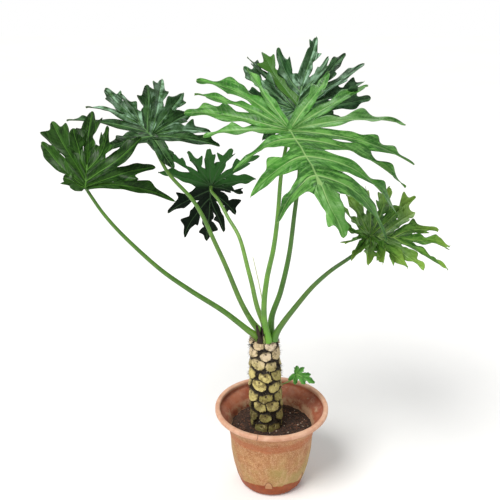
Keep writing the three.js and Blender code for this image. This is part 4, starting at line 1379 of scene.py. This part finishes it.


# %% [markdown]
# ### The six blades
#
# Headings are in degrees left of the midrib, lengths in millimetres. Each blade has its own greens:
# the front one is young and bright, the far left one is old and dark green, darkened further with
# painted shade, and the back one turns its underside to the front, painted nearly black as shade
# and a lit green towards its top as painted light.

# %% Blade sizes
LEAF_SHAPES = [
    Leaf(
        "leaf_front", (30, -80, 985), (0.455, -0.73, -0.51), (0.15, -0.5, 0.85), 150, 3, (0, 270, 23, 70),
        [
            (128, 265, 16, 25, 0), (110, 370, 16, 95, -30), (93, 350, 20, 90, 20),
            (70, 325, 20, 105, 0), (68, 305, 17, 145, 0), (68, 290, 16, 200, 10),
            (66, 225, 19, 160, 55),
        ],
        [
            (-182, 220, 14, 10, 0), (-170, 310, 17, 90, 20), (-154, 265, 13, 70, -5),
            (-135, 245, 18, 60, -10), (-119, 185, 14, 55, -5), (-112, 130, 16, 65, 45),
            (-102, 125, 19, 60, 55), (-102, 85, 19, 65, 70),
        ],
    ),
    Leaf(
        "leaf_top", (53, 110, 989), (0.251, 0.679, 0.69), (0.05, -0.72, 0.69), 70, 2, (0, 220, 15, 0),
        [
            (145, 105, 14, 25, 0), (112, 130, 14, 30, 10), (85, 155, 14, 35, 20),
            (66, 180, 14, 20, 25), (50, 205, 15, 30, 5), (50, 180, 14, 20, 25),
            (58, 120, 14, -20, 35),
        ],
        [
            (-92, 120, 14, 5, 10), (-69, 195, 14, 25, 35), (-50, 215, 14, 50, 30),
            (-36, 260, 15, 60, 20), (-27, 220, 15, 40, 20), (-30, 115, 14, -15, 15),
        ],
    ),
    Leaf(
        "leaf_far_left", (-445, 0, 830), (-0.012, 0.708, 0.706), (-0.1, -0.7, 0.7), 60, 2, (0, 210, 15, 0),
        [
            (66, 60, 14, -5, 5), (50, 170, 16, -5, 20), (30, 210, 15, 15, 0),
            (30, 100, 14, -35, 25),
        ],
        [
            (-76, 190, 10, 115, -40), (-66, 170, 14, 45, 0), (-55, 165, 16, -30, -5),
            (-50, 105, 14, -35, 35),
        ],
    ),
    Leaf(
        "leaf_left", (-296, 100, 928), (-0.633, 0.645, 0.427), (0, -0.55, 0.83), 60, 2, (0, 205, 15, 0),
        [
            (175, 100, 14, 25, 0), (60, 110, 14, 25, 5), (28, 235, 14, 50, -5),
            (12, 170, 13, 25, -25),
        ],
        [
            (-128, 165, 13, 30, -10), (-104, 150, 14, 45, -10), (-82, 145, 15, 35, 5),
            (-62, 170, 15, 10, -5), (-46, 210, 15, 15, 15), (-36, 165, 14, 0, 5),
            (-22, 105, 14, -15, 25),
        ],
    ),
    Leaf(
        "leaf_back", (-157, 180, 776), (-0.093, 0.505, -0.858), (0, 0.86, 0.51), 60, 2, (0, 205, 15, 20),
        [
            (172, 155, 13, 20, -10), (153, 160, 13, 25, -10), (136, 195, 14, 35, -10),
            (116, 155, 14, 35, -10), (60, 135, 15, 20, 15), (36, 135, 15, 35, 20),
        ],
        [
            (-170, 165, 14, 20, 15), (-145, 180, 14, 20, 10), (-112, 120, 15, 5, 0),
            (-82, 85, 15, 5, 5), (-42, 95, 15, 20, -10), (-18, 95, 15, 40, -15),
        ],
    ),
    Leaf(
        "leaf_right", (235, 15, 700), (0.981, 0.165, -0.104), (0.15, -0.3, 0.94), 80, 2, (0, 215, 13, 20),
        [
            (118, 125, 11, -5, 5), (94, 170, 12, 0, -10), (75, 205, 12, 5, -10),
            (60, 250, 13, 10, -15), (47, 255, 13, 10, 0), (42, 205, 13, 25, -10),
            (42, 165, 13, 25, 45),
        ],
        [
            (-196, 85, 12, -5, -5), (-162, 70, 12, 5, 0), (-130, 85, 13, 20, 0),
            (-98, 75, 13, 25, -5), (-70, 80, 13, 15, -10), (-52, 120, 13, 15, 0),
            (-46, 135, 13, 15, 5), (-40, 150, 14, 15, 15),
        ],
    ),
]

LOOK = {
    "seed": 1, "broad": 1.0, "web": 0.20, "teeth": 0.6, "fold": 0.36, "roll": 0.55, "bow": 0.10,
    "ripple": 3.4, "crease": 0.45, "wander": 0.25,
}
BLADE_LOOKS = {
    "leaf_front": {
        "seed": 11, "web": 0.18, "webs": {3: 0.6, 5: 0.3, 6: 0.3},
        "forks": {4: [(0.8, -1, 0.7, 0.06)]}, "teeth": 0.5, "ripple": 5.2,
        "roll": 0.45, "broad": 0.9, "wander": 0.4,
    },
    "leaf_top": {"seed": 12, "young_lobe": 5, "web": 0.15, "roll": 0.9, "teeth": 0.9, "ripple": 4.5},
    "leaf_far_left": {"seed": 13, "web": 0.48, "teeth": 0.8, "broad": 1.28, "roll": 0.3},
    "leaf_left": {"seed": 14, "roll": 0.7, "broad": 1.15},
    "leaf_back": {"seed": 15, "web": 0.28, "teeth": 0.8},
    "leaf_right": {
        "seed": 16, "web": 0.16, "teeth": 1.0, "roll": 0.9, "broad": 1.0, "fold": 0.5, "ripple": 5.5,
    },
}
BLADE_PAINTS = {
    "leaf_front": dict(
        green=(0.085, 0.340, 0.034), dark_green=(0.024, 0.165, 0.012), vein=(0.300, 0.500, 0.170),
        under=(0.10, 0.25, 0.04), sheen=(0.38, 0.60, 0.30), dust_and_sheen_film=0.25,
    ),
    "leaf_top": dict(
        green=(0.009, 0.062, 0.013), dark_green=(0.002, 0.022, 0.004), vein=(0.140, 0.290, 0.110),
        under=(0.05, 0.12, 0.03), sheen=(0.30, 0.50, 0.34), dust_and_sheen_film=0.75, relief=0.35, gloss_level=0.14,
    ),
    # The far left blade's greens are its own dark green, darkened further with painted shade.
    "leaf_far_left": dict(
        green=(0.006, 0.040, 0.002), dark_green=(0.002, 0.018, 0.001), vein=(0.100, 0.260, 0.034),
        under=(0.03, 0.08, 0.015), dust_and_sheen_film=0.02, relief=0.22, gloss_level=0.14,
    ),
    "leaf_left": dict(
        green=(0.009, 0.060, 0.006), dark_green=(0.002, 0.022, 0.002), vein=(0.120, 0.260, 0.080),
        under=(0.05, 0.11, 0.03), sheen=(0.30, 0.50, 0.34), dust_and_sheen_film=0.70, relief=0.35, gloss_level=0.14,
    ),
    # The back blade's underside is painted nearly black as shade. Above 0.76 to 0.80 m it is a lit green,
    # as painted light.
    "leaf_back": dict(
        green=(0.014, 0.036, 0.014), dark_green=(0.007, 0.018, 0.008), vein=(0.060, 0.120, 0.050),
        under=(0.004, 0.009, 0.005), dust_and_sheen_film=0.05, roughness=(0.45, 0.65), gloss_level=0.10,
        lit_top_tint=(0.760, 0.800, (0.034, 0.125, 0.026)),
    ),
    "leaf_right": dict(
        green=(0.055, 0.230, 0.014), dark_green=(0.006, 0.060, 0.003), vein=(0.320, 0.520, 0.110),
        under=(0.09, 0.22, 0.035), tip_tint=(0.270, 0.460, 0.070), dust_and_sheen_film=0.30,
        sheen=(0.50, 0.68, 0.34), gloss_level=0.10,
    ),
}
for leaf in LEAF_SHAPES:
    points, faces, point_values, corner_values = build_blade(leaf, {**LOOK, **BLADE_LOOKS[leaf.name]})
    paint = blade_finish(f"{leaf.name}_skin", **BLADE_PAINTS[leaf.name])
    make_piece(
        f"grown_{leaf.name}", leaf.name, points, faces, paint, point_values, corner_values
    )

# %% [markdown]
# ### The side shoot
#
# A young leaf has come up on a thin stem low on the trunk. It is small, thin and bright.

# %% Side shoot
shoot = Leaf(
    "side_shoot_leaf", (64, 12, 316), (0.85, -0.35, -0.2), (0.1, -0.6, 0.79), 18, 1, (0, 52, 8, 6),
    [(110, 26, 6, 2), (70, 30, 6, 3), (35, 30, 7, 4)],
    [(-120, 26, 6, 2), (-75, 28, 6, 4), (-35, 26, 7, 5)],
)
shoot_look = {**LOOK, "seed": 3, "ripple": 0.8, "teeth": 0.25, "web": 0.34, "roll": 0.2}
points, faces, point_values, corner_values = build_blade(shoot, shoot_look)
shoot_paint = blade_finish(
    "shoot_skin", green=(0.060, 0.260, 0.025), dark_green=(0.020, 0.130, 0.012), vein=(0.20, 0.42, 0.09),
    under=(0.2, 0.4, 0.1), dust_and_sheen_film=0.05, rib_width=0.0006, spacing=0.004,
)
make_piece(
    "young_leaf", "side_shoot_leaf", points, faces, shoot_paint, point_values, corner_values
)

# %% [markdown]
# ## The stalks
#
# Six stalks leave the crown. The base of each is a short sheath that clasps its neighbours, so it
# is widened there, and the round stalk narrows from it all the way to its blade.

# %% Stalk lines
STALK_LINES = [
    ("stalk_far_left", "leaf_far_left", 8.5, (-34, -12), [
        (-60, -23, 462), (-124, -19, 516), (-202, -15, 568), (-279, -12, 628), (-355, -8, 704),
        (-409, -4, 770),
    ]),
    ("stalk_left", "leaf_left", 8, (-26, 7), [
        (-50, 14, 466), (-77, 19, 516), (-135, 37, 656), (-193, 55, 774), (-259, 73, 848),
    ]),
    ("stalk_back", "leaf_back", 7.5, (-16, 25), [
        (-38, 32, 500), (-58, 39, 587), (-85, 82, 674), (-113, 120, 712), (-141, 156, 750),
    ]),
    ("stalk_centre", "leaf_front", 8.5, (-12, -22), [
        (-22, -28, 500), (-17, -42, 610), (-1, -58, 700), (8, -66, 800), (15, -72, 900),
    ]),
    ("stalk_right", "leaf_top", 8.5, (-4, 6), [
        (-2, 10, 485), (20, 23, 549), (38, 39, 628), (52, 50, 744), (64, 78, 868), (60, 100, 940),
    ]),
    ("stalk_low_right", "leaf_right", 8.5, (4, -14), [
        (15, -16, 463), (62, -7, 529), (100, -2, 576), (139, 2, 613), (186, 8, 646),
        (220, 13, 672),
    ]),
]
STALK_TIP = 4 * MM
STALK_PAINTS = {
    "stalk_far_left": ((0.085, 0.221, 0.019), (0.051, 0.147, 0.013), (0.136, 0.276, 0.026)),
    "stalk_left": ((0.128, 0.276, 0.036), (0.076, 0.184, 0.023), (0.119, 0.276, 0.033)),
    "stalk_back": ((0.187, 0.368, 0.065), (0.136, 0.294, 0.046), (0.255, 0.386, 0.078)),
    "stalk_centre": ((0.119, 0.304, 0.023), (0.085, 0.239, 0.019), (0.145, 0.386, 0.026)),
    "stalk_right": ((0.064, 0.184, 0.018), (0.047, 0.138, 0.013), (0.093, 0.258, 0.023)),
    "stalk_low_right": ((0.043, 0.156, 0.019), (0.076, 0.166, 0.019), (0.076, 0.221, 0.023)),
}
by_name = {leaf.name: leaf for leaf in LEAF_SHAPES}
for name, leaf_name, radius, base, route in STALK_LINES:
    leaf = by_name[leaf_name]
    foot = TRUNK_TOP + 0.3 * MM
    start = [(base[0] * MM, base[1] * MM, foot), (base[0] * MM, base[1] * MM, foot + 6 * MM)]
    end = [leaf.origin - leaf.face * 16 * MM, leaf.origin - leaf.face * 1.3 * MM]
    knots = start + [tuple(v * MM for v in point) for point in route] + [tuple(p) for p in end]
    line = smooth_curve(knots, 150)
    wide, phase = radius * MM, len(name) * 1.3

    def stalk_radius(share, turn, wide=wide, phase=phase):
        plain = wide + (STALK_TIP - wide) * share**0.8
        clasp = 0.34 * wide * math.exp(-((share / 0.06) ** 2))
        knot = 0.05 * wide * math.sin(share * 23 + phase) * math.sin(turn + phase)
        return plain + clasp + knot

    points, faces, shares, _ = sweep(line, stalk_radius, 28, flatten=0.06)
    turns = [2 * math.pi * (k % 28) / 28 for k in range(len(points))]
    paint = stalk_finish(f"{name}_skin", *STALK_PAINTS[name])
    make_piece(
        f"grown_{name}", name, points, faces, paint,
        {"share": shares, "turn": turns},
    )

# %% [markdown]
# ## Shoot stem, sheaths and bud
#
# The youngest parts stand between the stalks: a bud, a dry papery sheath that once wrapped a leaf,
# and a long pale sheath behind the stalks.

# %% Shoot stem
stem_knots = [
    (TRUNK_X + TRUNK_RADIUS - 4 * MM, 10 * MM, 287 * MM),
    (TRUNK_X + TRUNK_RADIUS + 14 * MM, 10 * MM, 294 * MM),
    tuple(shoot.origin - shoot.face * 8 * MM),
    tuple(shoot.origin - shoot.face * 1.2 * MM),
]
points, faces, shares, _ = sweep(
    smooth_curve(stem_knots, 40), lambda share, turn: 1.8 * MM * (1 - 0.15 * share), 16
)
turns = [2 * math.pi * (k % 16) / 16 for k in range(len(points))]
stem_paint = stalk_finish("shoot_stem_skin", (0.22, 0.38, 0.08), (0.16, 0.30, 0.06), (0.30, 0.30, 0.12))
make_piece(
    "young_stem", "side_shoot_stem", points, faces, stem_paint,
    {"share": shares, "turn": turns},
)


# %% Papery sheaths and the bud
def sheath_finish(name, colour, other, roughness):
    material, s, surface, place = new_material(name)
    stretched = s.node("ShaderNodeMapping", None, Vector=place)
    s.feed(stretched, Scale=(1.0, 1.0, 0.2))
    lines = s.noise(stretched.outputs["Vector"], 420.0, 5.0, 0.6)
    tone = s.mix(s.step(lines, 0.38, 0.62), colour, other)
    patch = use_group(s, mottle, Place=place, Scale=90.0, Sharpness=0.3, One=colour, Other=other)
    s.feed(surface, Base_Color=s.mix(0.4, tone, patch.outputs["Colour"]))
    s.feed(surface, Roughness=s.step(lines, 0.3, 0.7, roughness, roughness + 0.2))
    s.relief(surface, 0.6, 0.0006, lines)
    return material


def bent_line(foot, tip, count):
    """From the crown straight up at first, then over to the tip."""
    rise = np.array((foot[0], foot[1], foot[2] + 0.3 * (tip[2] - foot[2])))
    t = np.linspace(0, 1, count)[:, None]
    return (1 - t) ** 2 * np.array(foot) + 2 * t * (1 - t) * rise + t**2 * np.array(tip)


def wrap_strip(foot, tip, wide, end):
    low = (foot[0] * MM, foot[1] * MM, TRUNK_TOP + 0.3 * MM)
    line = bent_line(low, tuple(v * MM for v in tip), 60)

    def wrap_radius(share, turn):
        curl = 0.18 * math.sin(3 * turn + 9 * share) + 0.08 * math.sin(7 * turn)
        return (wide + (end - wide) * share**1.3) * MM * (1 + curl * (1 - share))

    points, faces, _, _ = sweep(line, wrap_radius, 24)
    return list(points), list(faces)


def tear_strips(foot, points, faces):
    """The dry wrap has rotted into strips, which belong to its own mesh."""
    dice = random.Random(51)
    for _ in range(22):
        x, y = foot[0] + dice.uniform(-7, 9), foot[1] + dice.uniform(-4, 14)
        tip = (x + dice.uniform(-14, 9), y + dice.uniform(-8, 8), dice.uniform(440, 482))
        more, more_faces = wrap_strip((x, y), tip, dice.uniform(1.4, 3.2), dice.uniform(0.3, 0.9))
        start = len(points)
        points += more
        faces += [tuple(k + start for k in face) for face in more_faces]


for name, node, slot, foot, tip, wide, end, tones in (
    ("dry_wrap", "dry_sheath", "dry_sheath", (-31, -27), (-40, -30, 480), 6.5, 1.2,
     ((0.010, 0.006, 0.004), (0.050, 0.028, 0.014), 0.75)),
    ("green_bud", "bud", "leaf_stalk", (-21, -30), (-23, -34, 452), 3.0, 1.0,
     ((0.22, 0.28, 0.07), (0.36, 0.38, 0.14), 0.45)),
    ("long_wrap", "pale_sheath", "pale_sheath", (-15, 11), (-50, 30, 640), 2.0, 0.8,
     ((0.42, 0.50, 0.24), (0.60, 0.62, 0.38), 0.5)),
):
    points, faces = wrap_strip(foot, tip, wide, end)
    if name == "dry_wrap":
        tear_strips(foot, points, faces)
    make_piece(name, node, points, faces, sheath_finish(f"{name}_skin", *tones))
